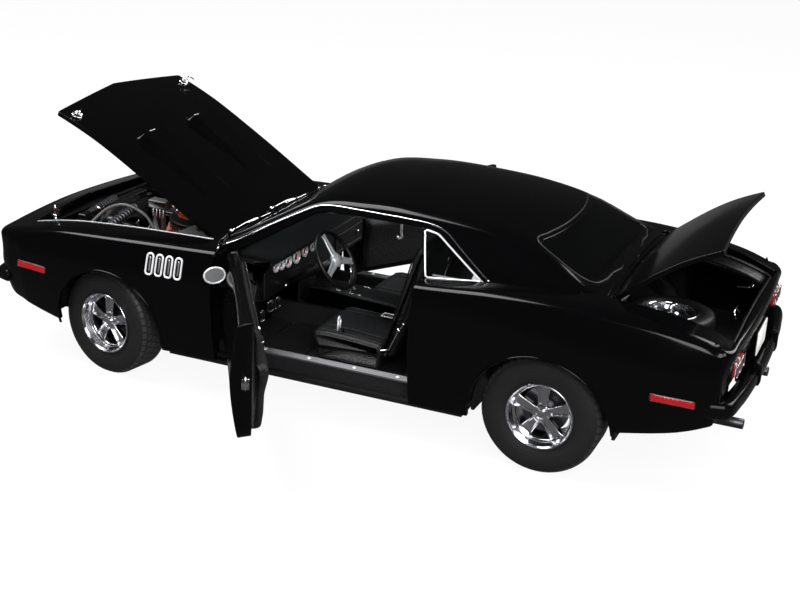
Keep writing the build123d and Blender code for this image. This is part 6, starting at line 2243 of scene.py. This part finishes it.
def makeBootFittings():
    arms = []
    for k, x in enumerate((30.5, 28.8)):
        line = [(x, 89.6, 44.0), (x, 88.8, 47.4), (x, 90.4, 50.4), (x - 0.4, 94.0, 51.0),
                (x - 0.8, 98.6, 53.0 + k)]
        arms.append(tube(smoothLine(line, 24, 3.2), 0.75 - 0.2 * k, 10))
    onCar("bootHingeArms", bothSides(*joined(*arms)), bayBlack, "body_paint")
    bolts = []
    for y, z in ((89.4, 46.0), (90.0, 50.0), (93.0, 51.4)):
        bolts.append(shifted(spun([(30.9, 0.001), (30.9, 0.7), (31.6, 0.6), (31.7, 0.001)], 6),
                             (0, y, z)))
    onCar("bootHingeBolts", bothSides(*joined(*bolts)), chrome, "bright_aluminium")
    jack = joined(softBox((14.0, 96.0, 29.9), (18.0, 114.0, 32.4), 0.6),
                  tube([(24.0, 94.0, 31.0), (24.0, 116.0, 31.0)],
                                                                             0.8, 10))
    onCar("jackHandle", jack, darkSteel, "bright_aluminium")
    bits = [tube(spacedLine([(-28.0, 119.6, 44.6), (-31.0, 119.6, 43.6), (-33.4, 118.4, 42.4),
                             (-33.4, 114.0, 42.0)],
                            0.6), 0.4, 8),
            shifted(spun([(43.2, 0.001), (43.2, 0.9), (44.0, 0.8), (44.1, 0.001)], 12, "Z"),
                    (-32.0, 119.0, 0)),
            tube([(-3.0, 120.3, 44.0), (-3.0, 119.0, 45.6), (3.0, 119.0, 45.6), (3.0, 120.3, 44.0)],
                 0.45, 8)]
    onCar("bootBrights", joined(*bits), chrome, "bright_aluminium")
    wedge = extruded(roundedOutline([(-4.0, 114.4), (1.6, 115.0), (-1.4, 118.8)], 0.6, 4), 29.9,
                     32.0, "Z")
    onCar("jackPad", wedge, plateWhite, "plate_white")


def makeGutter():
    # a raised lip and a rubber seal just inside the boot opening
    o = openings
    loop = [(-o["deckHalf"] + 0.4, o["deckFrontCut"] + 0.9),
            (o["deckHalf"] - 0.4, o["deckFrontCut"] + 0.9),
            (o["deckHalf"] - 2.0, o["deckRear"] - 0.9), (-o["deckHalf"] + 2.0, o["deckRear"] - 0.9)]
    flat = spacedLine(np.concatenate([roundedOutline(loop, 2.4, 6),
                                      roundedOutline(loop, 2.4, 6)[:1]]), 1.4)[:-1]
    height = topHeight(flat[:, 0], flat[:, 1])
    seal = np.column_stack([flat, height - 2.5])
    onCar("bootSeal", tube(seal, 0.62, 8, closed=True), hoseRubber, "black_plastic")
    middle = flat.mean(0)
    inward = middle - flat
    inward /= np.linalg.norm(inward, axis=1, keepdims=True)
    steps = [(0.2, -2.0), (0.2, -4.2), (1.4, -4.6), (1.4, -7.6), (0.6, -7.6), (-0.5, -4.8),
             (-0.6, -2.1)]
    rows = np.array([[(x + i * d, y + j * d, h + dz) for d, dz in steps]
                     for (x, y), (i, j), h in zip(flat, inward, height)])
    faces = flipped(gridFaces(len(rows), len(steps), closeRows=True, closeColumns=True))
    onCar("bootGutter", (rows.reshape(-1, 3), faces), bayBlack, "body_paint")
    lines = [[(-28, 94), (-24, 119)], [(28, 94), (24, 119)], [(-28, 94), (28, 94)],
             [(-24, 119), (24, 119)], [(-28, 94), (24, 119)], [(28, 94), (-24, 119)]]
    deckPiece("bootLidRibs", *lidRibs(lines, 0.65), bayBlack, "body_paint")


makeSpare()
makeBootFittings()
makeGutter()
print("boot ready")


# grille, headlamps, plate and exhaust tips

ends = {
    "grille": {"half": 41.8, "low": 30.6, "high": 39.2, "back": -120.2, "front": -124.2, "bars": 8,
               "fins": 11,
               "middle": 20.6},
    "lamp": {"x": (26.0, 36.2), "z": 34.9, "back": -121.2, "front": -123.7, "radius": 4.05},
    "plate": {"half": 8.3, "low": 34.7, "high": 42.3, "front": 128.2, "back": 127.4,
              "bolt": (6.0, 40.9)},
    "tips": {"x": 22.8, "z": 18.4, "from": 118.0, "to": 129.2, "radius": 1.6, "bore": 1.25}}


def makeGrille():
    g = ends["grille"]
    mesh = [boxShape((-g["half"], g["back"], g["low"]), (g["half"], g["back"] + 0.6, g["high"]))]
    levels = np.linspace(g["low"] + 0.7, g["high"] - 0.7, g["bars"])
    for z in levels:
        flat = roundedOutline([(g["back"], z - 0.2), (g["back"], z + 0.2),
                               (g["front"] + 0.3, z + 0.14), (g["front"] + 0.3, z - 0.14)], 0.08, 3)
        mesh.append(extruded(flat, -g["middle"], g["middle"], "X"))
    for x in np.linspace(-g["middle"], g["middle"], g["fins"]):
        flat = rectangle(x - 0.22, x + 0.22, g["low"] + 0.2, g["high"] - 0.2)
        mesh.append(extruded(flat, g["front"] + 0.2, g["back"], "Y"))
    facedOut(onCar("grilleMesh", joined(*mesh), satinBlack, "black_plastic", replaces=("grille",)))
    frame = roundedOutline(rectangle(-g["half"], g["half"], g["low"] + 0.2, g["high"] - 0.2), 1.6,
                           8)
    rim = np.stack([frame[:, 0], g["front"] + 0.9 + 0.05 * np.abs(frame[:, 0]), frame[:, 1]], 1)
    onCar("grilleRim", tube(rim, 0.3, 8, closed=True), darkSteel, "black_plastic")


def makeHeadlamps():
    lamp = ends["lamp"]
    r = lamp["radius"]
    glasses, rims = [], []
    for x in lamp["x"]:
        at = (x, 0, lamp["z"])
        dome = [(lamp["back"], 0.001), (lamp["back"], r * 0.86), (lamp["front"] + 0.7, r * 0.88)]
        dome += [(lamp["front"] + 0.7 * math.cos(a), r * 0.86 * math.sin(a))
                 for a in np.radians((75, 60, 40, 20, 1))]
        glasses.append(shifted(spun(dome + [(lamp["front"], 0.001)], 32, "Y"), at))
        bezel = [(lamp["back"], r * 0.9), (lamp["front"] + 0.4, r * 0.9),
                 (lamp["front"] + 0.1, r * 0.95), (lamp["front"] + 0.3, r), (lamp["back"], r)]
        rims.append(shifted(closedSpinY(bezel, 32), at))
    facedOut(onCar("headlampGlass", bothSides(*joined(*glasses)), clearLens, "lamp_glass",
                   replaces=("headlamps",)))
    facedOut(onCar("headlampRims", bothSides(*joined(*rims)), chrome, "bright_aluminium"))


def makePlate():
    p = ends["plate"]
    flat = roundedOutline(rectangle(-p["half"], p["half"], p["low"], p["high"]),
                          0.8, 6)
    face = extruded(flat * (0.985, 1), p["front"] - 0.35, p["front"] - 0.12, "Y")
    stand = softBox((-2.0, 126.4, 36.0), (2.0, p["front"] - 0.3, 40.0), 0.3)
    back = extruded(flat, p["back"], p["front"] - 0.33, "Y")
    rim = np.stack([flat[:, 0] * 0.97, np.full(len(flat), p["front"] - 0.2),
                    (flat[:, 1] - 38.5) * 0.95 + 38.5], 1)
    facedOut(onCar("plateFace", face, plateWhite, "plate_white", replaces=("number_plate",)))
    facedOut(onCar("plateBack", joined(back, stand), satinBlack, "black_plastic"))
    onCar("plateRim", tube(rim, 0.16, 6, closed=True), plateWhite, "plate_white")
    bolts = []
    for x in (-p["bolt"][0], p["bolt"][0]):
        points, faces = spun([(p["front"] - 0.3, 0.001), (p["front"] - 0.3, 0.55),
                              (p["front"] - 0.05, 0.5), (p["front"], 0.3), (p["front"], 0.001)], 14,
                             "Y")
        bolts.append((points + (x, 0, p["bolt"][1]), faces))
    facedOut(onCar("plateBolts", joined(*bolts), silverPaintedSheen, "bright_aluminium"))


def makeTips():
    t = ends["tips"]
    pipe = [(t["from"], t["radius"]), (t["to"] - 0.2, t["radius"]),
            (t["to"], (t["radius"] + t["bore"]) / 2), (t["to"] - 0.2, t["bore"]),
            (t["from"] + 3.0, t["bore"]), (t["from"] + 3.0, 0.001), (t["from"], 0.001)]
    points, faces = closedSpinY(pipe, 28)
    facedOut(onCar("exhaustTips", bothSides(points + (t["x"], 0, t["z"]), faces), darkSteel,
                   "steel_pipe"))


makeGrille()
makeHeadlamps()
makePlate()
makeTips()
print("ends ready")


def dressNodes():
    # every CAD piece that stays gets its finish by its record slot
    bySlot = {"body_paint": blackPaint, "bumper_black": bumperPaint, "clear_glass": windowGlass,
              "black_plastic": chassisBlack, "interior_vinyl": panelVinyl,
              "bright_aluminium": aluminium,
              "steel_pipe": steel, "engine_paint": enginePaint, "lamp_glass": clearLens,
              "red_lens": redLens,
              "plate_white": plateWhite, "tyre_rubber": tyreRubber, "wheel_chrome": wheelChrome}
    byNode = {"exhaust": darkSteel, "cabin_tub": carpet, "engine_bay": bayBlack}
    for part in frame["record"]["subparts"]:
        node = nodes[part["node"]]
        finish = byNode.get(part["node"], bySlot[part["material_slot"]])
        node.data.materials.clear()
        node.data.materials.append(finish)


dressNodes()
print("kept pieces dressed")
